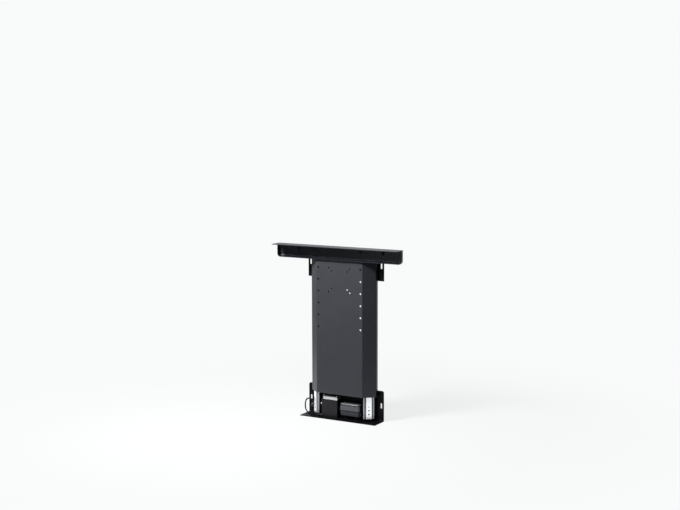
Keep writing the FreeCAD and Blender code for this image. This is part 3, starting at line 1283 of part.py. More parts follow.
def head_bracket():
    low_y = COVER_FRONT_Y + COVER_T + HEAD_T / 2
    high_y = LID_WEB_BACK_Y + HEAD_T / 2
    bend_z = COVER_TOP_Z - HEAD_JOGGLE_GAP
    upper_bend_z = bend_z + HEAD_JOGGLE_H
    points = [V(low_y, bend_z - HEAD_FLANGE_H, 0), V(low_y, bend_z, 0), V(high_y, upper_bend_z, 0),
              V(high_y, HEAD_TOP_Z, 0)]
    plate = prism_along_x(sheet_section(points, HEAD_T, HEAD_BEND_R), -HEAD_W / 2, HEAD_W / 2)
    reach = COVER_STANDOFF
    shoulder = UPRIGHT_TOP_Z + HEAD_T
    cheeks = [box(HEAD_NECK_W / 2, HEAD_W, low_y - reach, low_y + reach, 0, shoulder),
              box(-HEAD_W, -HEAD_NECK_W / 2, low_y - reach, low_y + reach, 0, shoulder)]
    holes = [rod_y(x, BOLT_Z, LID_WEB_BACK_Y - PAST, high_y + HEAD_T, BOLT_R + BOLT_HOLE_GAP)
             for x in (-COLUMN_SPACING / 2, COLUMN_SPACING / 2)]
    return plate.cut(cheeks + holes)


def lid_bolts():
    solids = []
    back = LID_WEB_BACK_Y + HEAD_T + BOLT_NUT_H + BOLT_END
    for x in (-COLUMN_SPACING / 2, COLUMN_SPACING / 2):
        head = rod_y(x, BOLT_Z, LID_WEB_FRONT_Y - BOLT_HEAD_H, LID_WEB_FRONT_Y, BOLT_HEAD_R)
        rim = [e for e in head.Edges if e.BoundBox.YMax < LID_WEB_FRONT_Y - BOLT_HEAD_H + 0.01]
        head = head.makeFillet(BOLT_HEAD_H / 2, rim)
        socket = hexagon(x, LID_WEB_FRONT_Y - BOLT_HEAD_H, BOLT_Z, BOLT_R * 1.25, BOLT_HEAD_H * 0.6, "y")
        solids.append(head.fuse(rod_y(x, BOLT_Z, LID_WEB_FRONT_Y, back, BOLT_R)).cut(socket))
    return group(solids)


def lid_nuts():
    front = LID_WEB_BACK_Y + HEAD_T
    solids = []
    for x in (-COLUMN_SPACING / 2, COLUMN_SPACING / 2):
        nut = hexagon(x, front, BOLT_Z, BOLT_NUT_AF, BOLT_NUT_H, "y")
        bore = rod_y(x, BOLT_Z, front - PAST, front + BOLT_NUT_H + PAST, BOLT_R + SCREW_GAP)
        solids.append(nut.cut(bore))
    return group(solids)


def nut_screw_places():
    step = 2 * math.pi / NUT_SCREW_COUNT
    return [(SPINDLE_X + NUT_SCREW_CIRCLE_R * math.cos((k + 0.5) * step),
             SPINDLE_Y + NUT_SCREW_CIRCLE_R * math.sin((k + 0.5) * step)) for k in range(NUT_SCREW_COUNT)]


def nut_bracket():
    """Folded plate welded inside the cover; it carries the spindle nut."""
    front = COVER_FRONT_Y + COVER_T + NUT_PLATE_T / 2
    level = NUT_PLATE_Z + NUT_PLATE_T / 2
    back = SPINDLE_Y + NUT_PLATE_BACK
    points = [V(front, level + NUT_PLATE_FLANGE, 0), V(front, level, 0), V(back, level, 0)]
    half = NUT_PLATE_W / 2
    plate = prism_along_x(sheet_section(points, NUT_PLATE_T, NUT_PLATE_BEND_R), SPINDLE_X - half,
                          SPINDLE_X + half)
    holes = [rod(x, y, NUT_PLATE_Z - PAST, NUT_PLATE_TOP_Z + PAST, SMALL_SCREW_R + SCREW_GAP)
             for x, y in nut_screw_places()]
    opening_r = SPINDLE_R + BUFFER_GAP
    holes.append(rod(SPINDLE_X, SPINDLE_Y, NUT_PLATE_Z - PAST, NUT_PLATE_TOP_Z + PAST, opening_r))
    return plate.cut(holes)


def spindle_nut():
    body = rod(SPINDLE_X, SPINDLE_Y, NUT_BOTTOM_Z, NUT_FLANGE_Z, NUT_BODY_R)
    flange = rod(SPINDLE_X, SPINDLE_Y, NUT_FLANGE_Z, NUT_PLATE_Z, NUT_FLANGE_R)
    holes = [rod(x, y, NUT_FLANGE_Z - PAST, NUT_PLATE_Z + PAST, SMALL_SCREW_R + SCREW_GAP)
             for x, y in nut_screw_places()]
    bore_r = SPINDLE_R + RUNNING_GAP
    holes.append(rod(SPINDLE_X, SPINDLE_Y, NUT_BOTTOM_Z - PAST, NUT_PLATE_Z + PAST, bore_r))
    return body.fuse(flange).cut(holes)


def nut_screws():
    return group([small_screw(x, y, NUT_FLANGE_Z, NUT_PLATE_TOP_Z) for x, y in nut_screw_places()])


# ---- All nodes -----------------------------------------------------------------------------------------

def make_nodes():
    nodes = {
        "lower_bracket": lower_bracket(),
        "upper_bracket": upper_bracket(),
        "frame_screws": frame_screws(),
        "slide_rivets": slide_rivets(),
        "drive_rail": drive_rail(),
        "top_bearing_bracket": top_bearing_bracket(),
        "top_bracket_screws": top_bracket_screws(),
        "upper_bearing": bearing(UPPER_BEARING_Z),
        "lower_bearing": bearing(BEARING_BOTTOM_Z),
        "upper_buffer": stop_buffer(UPPER_BUFFER_Z, UPPER_BUFFER_H, UPPER_BUFFER_R),
        "lower_buffer": stop_buffer(LID_TOP_Z, LOWER_BUFFER_H, LOWER_BUFFER_R),
        "drive_housing": drive_housing(),
        "gearbox_case": gearbox_case(),
        "gearbox_lid": gearbox_lid(),
        "gearbox_screws": gearbox_screws(),
        "motor_can": motor_can(),
        "motor_magnets": motor_magnets(),
        "motor_screws": motor_screws(),
        "armature": armature(),
        "motor_pinion": motor_pinion(),
        "spindle": spindle(),
        "spindle_gear": spindle_gear(),
        "control_box_lower": control_box_lower(),
        "control_box_upper": control_box_upper(),
        "control_box_spacers": control_box_spacers(),
        "base_screws": base_screws(),
        "circuit_board": circuit_board(),
        "board_screws": board_screws(),
        "transformer": transformer(),
        "relays": relays(),
        "capacitor": capacitor(),
        "mains_inlet": mains_inlet(),
        "drive_link_plug": link_block(0),
        "handset_socket": handset_socket(),
        "receiver": receiver(),
        "receiver_lead": receiver_lead(),
        "lead_gland": lead_gland(),
        "cover": cover(),
        "cover_studs": cover_studs(),
        "stud_nuts": stud_nuts(),
        "lid_bracket": lid_bracket(),
        "head_bracket": head_bracket(),
        "lid_bolts": lid_bolts(),
        "lid_nuts": lid_nuts(),
        "nut_bracket": nut_bracket(),
        "spindle_nut": spindle_nut(),
        "nut_screws": nut_screws(),
    }
    for name, side in SIDES:
        nodes["upright_" + name] = upright(side)
        nodes["slide_outer_" + name] = slide_outer(side)
        nodes["slide_middle_" + name] = slide_middle(side)
        nodes["slide_inner_" + name] = slide_inner(side)
        nodes["outer_cage_" + name] = outer_cage(side)
        nodes["inner_cage_" + name] = inner_cage(side)
    return nodes


os.makedirs("parts", exist_ok=True)
for node, shape in make_nodes().items():
    if not shape.isValid():
        print("not valid:", node)
    shape.exportStep("parts/%s.step" % node)
print("travel of the lift: %.1f mm" % TRAVEL)
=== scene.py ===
# %% [markdown]
# # A motorised television lift
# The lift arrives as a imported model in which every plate, screw and shaft already has its real size and place.
# These cells dress it: they give each part the finish of its real material, replace the parts that need finer
# modelling than a plain solid, lay the receiver's lead, and light the lift on a white floor.

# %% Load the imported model
import json
import math

import bmesh
import bpy
from mathutils import Matrix, Vector


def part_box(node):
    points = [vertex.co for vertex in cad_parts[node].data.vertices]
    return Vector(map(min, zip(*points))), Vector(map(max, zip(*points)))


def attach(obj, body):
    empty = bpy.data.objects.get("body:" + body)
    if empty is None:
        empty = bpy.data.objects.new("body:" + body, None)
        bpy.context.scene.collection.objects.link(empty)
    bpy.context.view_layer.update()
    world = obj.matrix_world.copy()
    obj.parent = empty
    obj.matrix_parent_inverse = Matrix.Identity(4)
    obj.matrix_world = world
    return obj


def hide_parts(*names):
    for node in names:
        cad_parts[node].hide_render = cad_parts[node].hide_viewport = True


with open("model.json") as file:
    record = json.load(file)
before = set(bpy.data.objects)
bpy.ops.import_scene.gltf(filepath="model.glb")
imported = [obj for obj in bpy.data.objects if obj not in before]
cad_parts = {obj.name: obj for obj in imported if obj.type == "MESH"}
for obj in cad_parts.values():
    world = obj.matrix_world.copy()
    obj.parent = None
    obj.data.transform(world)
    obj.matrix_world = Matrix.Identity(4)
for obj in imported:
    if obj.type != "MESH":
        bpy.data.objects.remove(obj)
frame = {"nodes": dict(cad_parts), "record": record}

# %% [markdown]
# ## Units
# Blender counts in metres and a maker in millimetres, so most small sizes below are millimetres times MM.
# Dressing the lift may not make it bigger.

MM = 0.001
nodes = frame["nodes"]
scene = bpy.context.scene
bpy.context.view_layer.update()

# %% [markdown]
# ## The camera
# A product like this is best shown from well back through a long lens, so that its upright lines stay nearly
# parallel. The camera stands to the right and above, and tilts down a few degrees. It could simply be aimed at a
# point, but three plain turns are easier to correct one at a time: a hair of roll about the lens, then the tilt,
# then the swing towards the lift.

# %% Place the camera
CAMERA_AT = Vector((2.6137, -4.5539, 1.3293))
CAMERA_SWING = math.radians(29.815)
CAMERA_TILT = math.radians(6.914)
CAMERA_ROLL = math.radians(-0.137)
LENS_MM, SENSOR_MM = 68.0, 36.0
LIFT_MIDDLE = Vector((0, 0, 0.36))

camera_data = bpy.data.cameras.new("camera")
camera_data.lens = LENS_MM
camera_data.sensor_width = SENSOR_MM
camera = bpy.data.objects.new("camera", camera_data)
scene.collection.objects.link(camera)
swing = Matrix.Rotation(CAMERA_SWING, 4, "Z")
tilt = Matrix.Rotation(math.pi / 2 - CAMERA_TILT, 4, "X")
roll = Matrix.Rotation(CAMERA_ROLL, 4, "Z")
camera.matrix_world = Matrix.Translation(CAMERA_AT) @ swing @ tilt @ roll
scene.camera = camera
print("camera distance: %.2f m" % (CAMERA_AT - LIFT_MIDDLE).length)

# %% [markdown]
# ## Building finishes
# Each finish is one Principled shader. What is the same all over a surface is set on the shader's own sockets. A
# colour is easiest to choose as it looks on a screen, but a shader counts light, and a middle grey on a screen
# gives only about a fifth of white's light. So a small helper turns the one into the other.

# %% Start a finish
finishes = {}


def srgb(red, green, blue):
    """A colour given as it looks on a screen, 0 to 255, turned into the linear values that shaders use."""
    parts = [c / 255 for c in (red, green, blue)]
    return [c / 12.92 if c <= 0.04045 else ((c + 0.055) / 1.055) ** 2.4 for c in parts] + [1.0]


def new_finish(name, roughness, metallic=0.0, **sockets):
    """Starts a finish and keeps it by its name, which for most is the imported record's name of the material."""
    material = bpy.data.materials.new(name)
    material.use_nodes = True
    shader = material.node_tree.nodes["Principled BSDF"]
    shader.inputs["Roughness"].default_value = roughness
    shader.inputs["Metallic"].default_value = metallic
    for socket, value in sockets.items():
        shader.inputs[socket.replace("_", " ")].default_value = value
    finishes[name] = material
    print("finish %s: roughness %.2f, metallic %.1f" % (name, roughness, metallic))
    return material


print("screen grey 128 gives %.2f of white's light" % srgb(128, 128, 128)[0])

# %% [markdown]
# ## Patterns in a finish
# No real surface is one flat colour, so noise drives the colour, roughness or bump of every finish. An image
# could too, but it needs unwrapped faces and shows seams. The noise reads Object coordinates, which here are
# metres on the real lift, because every part sits at the origin with its place in its mesh. So a pattern's scale
# is one over its grain size in metres.

# %% Nodes, links and noise
MM_IN_A_METRE = 1000


def add_node(owner, kind, **inputs):
    """A new node of a material, or of the world, with some of its inputs set."""
    node = owner.node_tree.nodes.new(kind)
    for socket, value in inputs.items():
        node.inputs[socket.replace("_", " ")].default_value = value
    return node


def join(owner, output, target):
    owner.node_tree.links.new(output, target)


def grain(material, size_mm, detail=2.0, stretch=(1, 1, 1)):
    """Noise whose blotches are about size_mm wide, drawn out along an axis where stretch is under 1."""
    place = add_node(material, "ShaderNodeTexCoord")
    mapping = add_node(material, "ShaderNodeMapping", Scale=stretch)
    noise = add_node(material, "ShaderNodeTexNoise", Scale=MM_IN_A_METRE / size_mm, Detail=detail)
    join(material, place.outputs["Object"], mapping.inputs["Vector"])
    join(material, mapping.outputs["Vector"], noise.inputs["Vector"])
    return noise.outputs["Fac"]


print("a grain of 2 mm is noise at scale %.0f" % (MM_IN_A_METRE / 2))

# %% [markdown]
# ## From noise to colour, roughness and bump
# Noise keeps mostly to the middle of its range, so each helper spreads that part over the whole way from one
# value to the other. A bump only tilts the light, which is right for relief finer than a millimetre, where real
# geometry would take millions of faces.

# %% Let noise drive a finish
NOISE_LOW, NOISE_HIGH = 0.3, 0.7


def shader_input(material, socket):
    return material.node_tree.nodes["Principled BSDF"].inputs[socket]


def spread(owner, value, start, end, low, high, easing="LINEAR"):
    """Turns a value between start and end into one between low and high."""
    node = add_node(owner, "ShaderNodeMapRange", From_Min=start, From_Max=end, To_Min=low, To_Max=high)
    node.interpolation_type = easing
    join(owner, value, node.inputs["Value"])
    return node.outputs["Result"]


def vary_colour(material, dark, light, low=0.35, high=0.65, **pattern):
    """dark and light are screen colours. Here and in the next two helpers, pattern is what grain is told."""
    ramp = add_node(material, "ShaderNodeValToRGB")
    ramp.color_ramp.elements[0].position = low
    ramp.color_ramp.elements[0].color = srgb(*dark)
    ramp.color_ramp.elements[1].position = high
    ramp.color_ramp.elements[1].color = srgb(*light)
    join(material, grain(material, **pattern), ramp.inputs["Fac"])
    join(material, ramp.outputs["Color"], shader_input(material, "Base Color"))


def vary_roughness(material, smooth, rough, **pattern):
    varied = spread(material, grain(material, **pattern), NOISE_LOW, NOISE_HIGH, smooth, rough)
    join(material, varied, shader_input(material, "Roughness"))


def emboss(material, depth_mm, strength, **pattern):
    bump = add_node(material, "ShaderNodeBump", Strength=strength, Distance=depth_mm * MM)
    join(material, grain(material, **pattern), bump.inputs["Height"])
    join(material, bump.outputs["Normal"], shader_input(material, "Normal"))


print("roughness follows the noise between %.1f and %.1f" % (NOISE_LOW, NOISE_HIGH))

# %% [markdown]
# ## Black powder coat
# The sheet-metal parts are sprayed with charged powder and baked. The coat flows into a satin skin with a faint
# orange peel about a millimetre across, and its sheen drifts a little over a hand's breadth. So the colour hardly
# changes, and the bump and the roughness do the work. The lid bracket gets a second finish, made by the same steps:
# the same coat painted darker and bluer, as painted shade for its web, which lies in shadow under its top plate.

# %% Powder coat, and a darker copy on the lid bracket as painted shade
def powder_coat(name, gloss, dark, light, smooth, rough):
    coat = new_finish(name, roughness=0.42, Specular_IOR_Level=gloss)
    vary_colour(coat, dark, light, size_mm=60, detail=3)
    vary_roughness(coat, smooth, rough, size_mm=90, detail=4)
    emboss(coat, depth_mm=0.05, strength=0.5, size_mm=1.1, detail=1)
    return coat


powder_coat("black_powder_coat", 0.30, (55, 57, 62), (57, 59, 64), smooth=0.39, rough=0.45)
# The lid bracket's darker, bluer copy of the coat is painted shade.
lid_coat_painted_shade = powder_coat("lid_powder_coat_painted_shade", 0.28, (40, 42, 50), (43, 45, 53), smooth=0.36, rough=0.44)

# %% [markdown]
# ## Black enamel on the brackets
# The wall brackets, and the uprights, rail and bearing bracket between them, are darker and smoother than the
# cover: they are dipped in thin black enamel. It throws back hardly any light, and mirrors what stands on it only
# faintly. A nearly black colour with a low specular level gives that, where more gloss would turn it grey.

# %% Black enamel
enamel = new_finish("black_enamel", roughness=0.4, Specular_IOR_Level=0.08)
vary_colour(enamel, (10, 10, 13), (15, 15, 19), size_mm=45, detail=3)
vary_roughness(enamel, smooth=0.34, rough=0.46, size_mm=30, detail=4)
emboss(enamel, depth_mm=0.02, strength=0.3, size_mm=2.5, detail=1)

# %% [markdown]
# ## Paint on the drive housing
# The drive housing's case is sprayed with a thin black paint that dries with a fine grit. It is as dark as the
# enamel but has more sheen, broken up by the grit, so its bump is finer and its roughness changes over a few
# millimetres. The spacers under the control box get the same dark colour, as painted shade in the gap under the
# box.

# %% Paint for the drive housing and the control box's spacers
case_paint = new_finish("drive_housing_paint", roughness=0.5, Specular_IOR_Level=0.32)
vary_colour(case_paint, (10, 10, 14), (16, 17, 22), size_mm=20, detail=3)
vary_roughness(case_paint, smooth=0.4, rough=0.55, size_mm=8, detail=4)
emboss(case_paint, depth_mm=0.05, strength=0.5, size_mm=0.9, detail=2)

# %% [markdown]
# ## Zinc-plated steel
# The slides are rolled from zinc-plated strip, which leaves fine lines along their length, and the screws and
# nuts carry the same plating. Noise drawn out a hundred times along the height gives the lines, and a coarser
# noise the cloudy bloom of the plating. Only the slides' inner members are bright. The outer and middle members
# are darker copies of the same plating, as painted shade: the outer ones a little darker, the middle ones
# darkest and duller, with no bump.

# %% Zinc plating: bright, and two darker copies as painted shade
DRAWN_UPWARDS = (1, 1, 0.01)


def zinc_plating(name, roughness, dark, light, smooth, rough):
    plating = new_finish(name, roughness, metallic=1.0)
    vary_colour(plating, dark, light, size_mm=14, detail=5)
    vary_roughness(plating, smooth, rough, size_mm=0.5, stretch=DRAWN_UPWARDS)
    return plating


zinc = zinc_plating("zinc_plated_steel", 0.3, (236, 238, 241), (247, 248, 250), smooth=0.20, rough=0.34)
# The two darker copies are painted shade: a little for the outer members, more for the middle ones.
zinc_painted_half_shade = zinc_plating("zinc_strip_painted_half_shade", 0.4, (176, 178, 182), (190, 192, 196), smooth=0.34, rough=0.48)
zinc_painted_deep_shade = zinc_plating("zinc_strip_painted_deep_shade", 0.5, (112, 113, 115), (128, 129, 130),
                       smooth=0.42, rough=0.58)
for lined_plating in (zinc, zinc_painted_half_shade):
    emboss(lined_plating, depth_mm=0.01, strength=0.35, size_mm=0.35, stretch=DRAWN_UPWARDS)

# %% [markdown]
# ## Bolts, bearings, shafts and the motor's can
# The lid bracket's bolts are blackened in a salt bath, which leaves a dark, faintly mottled metal. Bearings and
# balls are polished. The motor's shaft and pinion are ground, which scratches rings round them, so their noise is
# drawn out across the height. The motor's can is deep-drawn, with faint upright lines. All four are fully or
# nearly metallic, so what they mirror gives most of their colour.

# %% Blackened, polished, ground and drawn steel
oxide = new_finish("black_bolt_steel", roughness=0.32, metallic=0.8)
vary_colour(oxide, (34, 34, 36), (52, 52, 54), size_mm=2.5, detail=4)
vary_roughness(oxide, smooth=0.28, rough=0.42, size_mm=1.0)

polished = new_finish("bearing_steel", roughness=0.16, metallic=1.0)
vary_colour(polished, (196, 198, 202), (214, 216, 219), size_mm=4, detail=3)
vary_roughness(polished, smooth=0.12, rough=0.24, size_mm=0.6, stretch=(1, 1, 0.05))

ground = new_finish("ground_steel", roughness=0.25, metallic=1.0)
vary_colour(ground, (176, 178, 182), (202, 204, 207), size_mm=6, detail=4)
vary_roughness(ground, smooth=0.18, rough=0.34, size_mm=0.3, stretch=(0.2, 0.2, 1))
emboss(ground, depth_mm=0.01, strength=0.3, size_mm=0.3, stretch=(0.1, 0.1, 1))

can = new_finish("motor_can_steel", roughness=0.32, metallic=1.0)
vary_colour(can, (178, 180, 184), (200, 201, 205), size_mm=5, detail=4)
vary_roughness(can, smooth=0.26, rough=0.42, size_mm=0.4, stretch=(1, 1, 0.02))

# %% [markdown]
# ## Cast aluminium and bronze
# The gearbox case is die-cast aluminium. Its bright skin froze unevenly in the mould and catches the light in
# specks, which a fine bump gives. The spindle nut is turned from bronze and darkened by oil. Its turning lines
# run round it, so its noise is drawn out across the height.

# %% Cast aluminium and bronze
cast = new_finish("cast_aluminium", roughness=0.38, metallic=1.0)
vary_colour(cast, (206, 207, 210), (218, 219, 221), size_mm=3, detail=5)
vary_roughness(cast, smooth=0.32, rough=0.5, size_mm=1.2)
emboss(cast, depth_mm=0.06, strength=0.5, size_mm=0.5, detail=3)

bronze = new_finish("nut_bronze", roughness=0.3, metallic=1.0)
vary_colour(bronze, (92, 70, 42), (112, 88, 56), size_mm=5, detail=4)
vary_roughness(bronze, smooth=0.22, rough=0.4, size_mm=0.4, stretch=(0.1, 0.1, 1))

# %% [markdown]
# ## Ferrite and nylon
# The motor's magnets are pressed and fired ferrite, dull and dark as slate, with a sandy skin. The wheel on the
# spindle is cream-coloured nylon. Light goes a little way into nylon, so it gets a trace of subsurface
# scattering, without which its teeth would look like chalk.

# %% Ferrite and nylon
ferrite = new_finish("magnet_ferrite", roughness=0.7)
vary_colour(ferrite, (52, 52, 54), (70, 70, 72), size_mm=1.5, detail=4)
emboss(ferrite, depth_mm=0.03, strength=0.5, size_mm=0.4, detail=3)

nylon = new_finish("gear_nylon", roughness=0.42, Subsurface_Weight=0.2, Subsurface_Scale=0.002)
vary_colour(nylon, (226, 221, 203), (236, 232, 217), size_mm=8, detail=3)
vary_roughness(nylon, smooth=0.36, rough=0.5, size_mm=1.5)

# %% [markdown]
# ## Moulded plastics
# The gearbox lid, the receiver and the mains inlet are moulded with a spark-eroded texture, which reads as a
# fine, even grit that softens every highlight. The handset's socket is white and smooth. The control box's shells
# are greyer and of one plastic. The upper one, which lies in the light, is glossier. The lower one, which turns
# down towards the base plate, is painted darker as painted shade. They differ only in a few values, so one loop
# makes both.

# %% Black and white plastic, and the control box's two greys
plastic = new_finish("black_plastic", roughness=0.4)
vary_colour(plastic, (44, 45, 48), (53, 54, 57), size_mm=25, detail=3)
vary_roughness(plastic, smooth=0.36, rough=0.48, size_mm=2.0, detail=3)
emboss(plastic, depth_mm=0.03, strength=0.6, size_mm=0.35, detail=2)

white = new_finish("white_plastic", roughness=0.35)
vary_colour(white, (226, 226, 222), (236, 236, 232), size_mm=6, detail=3)
vary_roughness(white, smooth=0.3, rough=0.42, size_mm=1.0)

# The lower shell's darker grey is painted shade. Both shells are the same plastic.
for shell, dark, light, gloss in (("upper", (73, 74, 79), (81, 82, 87), 0.55),
                                  ("lower", (52, 53, 58), (58, 59, 64), 0.22)):
    grey = new_finish("control_box_plastic_" + shell, roughness=0.38, Specular_IOR_Level=gloss)
    vary_colour(grey, dark, light, size_mm=25, detail=3)
    vary_roughness(grey, smooth=0.32, rough=0.44, size_mm=2.0, detail=3)
    emboss(grey, depth_mm=0.03, strength=0.5, size_mm=0.35, detail=2)

# %% [markdown]
# ## Rubber and the lead's sheath
# The buffers are black rubber, which scatters what light it takes: a high roughness and a coarse bump are enough.
# The lead's sheath is smooth PVC, nearly black, with a soft shine that drifts along it where it was handled.

# %% Rubber and sheath
rubber = new_finish("black_rubber", roughness=0.75)
vary_colour(rubber, (28, 28, 28), (40, 40, 40), size_mm=6, detail=4)
emboss(rubber, depth_mm=0.04, strength=0.6, size_mm=0.6, detail=3)

sheath = new_finish("lead_sheath", roughness=0.42, Specular_IOR_Level=0.25)
vary_colour(sheath, (12, 12, 14), (19, 19, 21), size_mm=12, detail=3)
vary_roughness(sheath, smooth=0.36, rough=0.5, size_mm=3.0, detail=3)

# %% [markdown]
# ## The circuit board and what stands on it
# These sit inside the control box. The board is green laminate. Its tracks could be drawn one by one, but a noise
# without fine detail, cut hard between two greens, reads as tracks at this size. The transformer's core is a
# stack of thin sheets, so its noise changes along the stack only. Relays and capacitor are plain mouldings.

# %% Board, core, relays and capacitor
ALONG_THE_STACK = (1, 0.01, 0.01)

board = new_finish("board_laminate", roughness=0.3)
vary_colour(board, (16, 74, 42), (28, 104, 60), low=0.48, high=0.52, size_mm=4, detail=0,
            stretch=(1, 0.25, 1))

core = new_finish("transformer_core", roughness=0.45)
vary_colour(core, (150, 128, 52), (196, 170, 76), size_mm=0.5, detail=0, stretch=ALONG_THE_STACK)
emboss(core, depth_mm=0.1, strength=0.6, size_mm=0.5, detail=0, stretch=ALONG_THE_STACK)

relay = new_finish("relay_plastic", roughness=0.28)
vary_colour(relay, (34, 74, 150), (42, 88, 168), size_mm=7, detail=3)

sleeve = new_finish("capacitor_sleeve", roughness=0.3)
vary_colour(sleeve, (28, 30, 66), (38, 40, 82), size_mm=5, detail=3)

# %% [markdown]
# ## Which finish goes where
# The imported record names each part's material, and most finishes above carry that name, so they find their parts
# by themselves. The parts with a finish of their own are listed in one table, because then a part can be moved to
# another row without touching any code.

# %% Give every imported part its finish
PARTS_BY_FINISH = (
    (enamel, ("lower_bracket", "upper_bracket", "drive_rail", "top_bearing_bracket",
              "upright_left", "upright_right")),
    # The lid bracket's darker coat is painted shade.
    (lid_coat_painted_shade, ("lid_bracket",)),
    # The spacers' dark paint is painted shade for the gap under the control box.
    (case_paint, ("drive_housing", "control_box_spacers")),
    # The slides' outer and middle members take the darker zinc copies, as painted shade.
    (zinc_painted_half_shade, ("slide_outer_left", "slide_outer_right")),
    (zinc_painted_deep_shade, ("slide_middle_left", "slide_middle_right")),
)
own_finish = {node: finish for finish, group in PARTS_BY_FINISH for node in group}
for part in frame["record"]["subparts"]:
    mesh = nodes[part["node"]].data
    mesh.materials.clear()
    mesh.materials.append(own_finish.get(part["node"]) or finishes[part["material_slot"]])

# %% [markdown]
# ## Modelled hardware
# Screws, nuts and rivets are where a plain solid looks most like a drawing: real ones have domed heads, drive
# sockets and chamfered corners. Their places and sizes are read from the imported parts, one loose solid at a time,
# so each new one still fills its own hole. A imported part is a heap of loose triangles, so a copy is merged first,
# and then followed from corner to corner.

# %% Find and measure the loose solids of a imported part
ALONG_Y, ALONG_Z = (0, 1, 0), (0, 0, 1)
HEAD_SHARE = 0.93
FOOT_DEPTH = 0.1 * MM


def loose_parts(node):
    """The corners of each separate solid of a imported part, lowest first."""
    shape = bmesh.new()
    shape.from_mesh(nodes[node].data)
    bmesh.ops.remove_doubles(shape, verts=shape.verts, dist=1e-6)
    left, found = set(shape.verts), []
    while left:
        reached = [left.pop()]
        for corner in reached:
            near = {edge.other_vert(corner) for edge in corner.link_edges} & left
            left -= near
            reached.extend(near)
        found.append([corner.co.copy() for corner in reached])
    shape.free()
    return sorted(found, key=lambda part: min((p.z, p.x, p.y) for p in part))


def measure(corners, axis):
    """Foot, length, head and shank of a round part, with its axis turned to point from the foot to the head."""
    axis = Vector(axis).normalized()
    middle = sum(corners, Vector()) / len(corners)
    along = [(p - middle).dot(axis) for p in corners]
    out = [((p - middle) - axis * a).length for p, a in zip(corners, along)]
    low, high, wide = min(along), max(along), max(out)
    head = [a for a, r in zip(along, out) if r > HEAD_SHARE * wide]
    if abs(low - min(head)) < abs(high - max(head)):
        axis, along, low, high, head = -axis, [-a for a in along], -high, -low, [-a for a in head]
    shank = max(r for a, r in zip(along, out) if a < low + FOOT_DEPTH)
    return {"foot": middle + axis * low, "axis": axis, "length": high - low, "head_r": wide,
            "head_h": high - min(head), "shank_r": shank}


found = loose_parts("frame_screws")
print("frame screws: %d, each %.1f mm long" % (len(found), measure(found[0], ALONG_Y)["length"] / MM))

# %% [markdown]
# ## Heads turned as on a lathe
# A screw, a bolt and a rivet are all one outline spun round its axis: a shank with a chamfered tip, a flat
# underside, a short upright rim and a domed crown. The outline's points are shares of the measured sizes, so one
# outline serves them all. A full spin has to merge its last step with its first, or a seam stays open.

# %% The lathe, and the outline of a headed part
TURN_STEPS = 24
TIP_WIDTH, TIP_HEIGHT = 0.72, 0.3
UNDERSIDE_WIDTH, RIM_FROM, RIM_TO = 0.96, 0.1, 0.32
SHOULDER_SWELL, SHOULDER_HEIGHT = 0.12, 0.82


def turn(shape, profile, steps=TURN_STEPS):
    """Spins (radius, height) pairs, in metres, round Z and returns the new corners."""
    old = set(shape.verts)
    line = [shape.verts.new((radius, 0, height)) for radius, height in profile]
    edges = [shape.edges.new(pair) for pair in zip(line, line[1:])]
    bmesh.ops.spin(shape, geom=line + edges, cent=(0, 0, 0), axis=(0, 0, 1), dvec=(0, 0, 0),
                   angle=2 * math.pi, steps=steps, use_merge=True, use_duplicate=False)
    bmesh.ops.remove_doubles(shape, verts=[v for v in shape.verts if v not in old], dist=1e-7)
    return [v for v in shape.verts if v not in old]


def domed(part, crown):
    """Half the outline of a headed part, foot first. crown is how much of the head's radius stays flat on top."""
    top, under, wide = part["length"], part["length"] - part["head_h"], part["head_r"]
    height, thin = part["head_h"], part["shank_r"]
    shoulder = 0.5 + crown / 2 + SHOULDER_SWELL
    return [(0, 0), (thin * TIP_WIDTH, 0), (thin, thin * TIP_HEIGHT), (thin, under),
            (wide * UNDERSIDE_WIDTH, under), (wide, under + height * RIM_FROM), (wide, under + height * RIM_TO),
            (wide * shoulder, under + height * SHOULDER_HEIGHT), (wide * crown, top)]


print("a head is turned in %d steps" % TURN_STEPS)

# %% [markdown]
# ## Loops, skins and drive sockets
# The rest of the hardware is made of loops: closed rows of corners at one height. Two loops are bridged into a
# wall, and a flat face is filled between the loops that bound it. A socket is such a wall sunk into the open top
# of a head, narrowing downwards. A Boolean could cut it, but it leaves long thin faces that shade badly.

# %% Loops, walls, flat faces and sockets
SAME_LEVEL = 1e-7


def ring(shape, points, height):
    """A closed loop of corners at one height, and its edges."""
    corners = [shape.verts.new((x, y, height)) for x, y in points]
    return corners, [shape.edges.new(pair) for pair in zip(corners, corners[1:] + corners[:1])]


def skin(shape, *rings):
    for lower, upper in zip(rings, rings[1:]):
        bmesh.ops.bridge_loops(shape, edges=lower[1] + upper[1])


def fill(shape, *rings):
    """Closes the flat space inside the first ring, leaving out the rings that lie in it."""
    bmesh.ops.triangle_fill(shape, use_beauty=True, edges=[edge for one in rings for edge in one[1]])


def circle(radius, count, centre=(0, 0)):
    spots = [2 * math.pi * k / count for k in range(count)]
    return [(centre[0] + radius * math.cos(a), centre[1] + radius * math.sin(a)) for a in spots]


def cross(arm, half):
    return [(arm, -half), (arm, half), (half, half), (half, arm), (-half, arm), (-half, half),
            (-arm, half), (-arm, -half), (-half, -half), (-half, -arm), (half, -arm), (half, -half)]


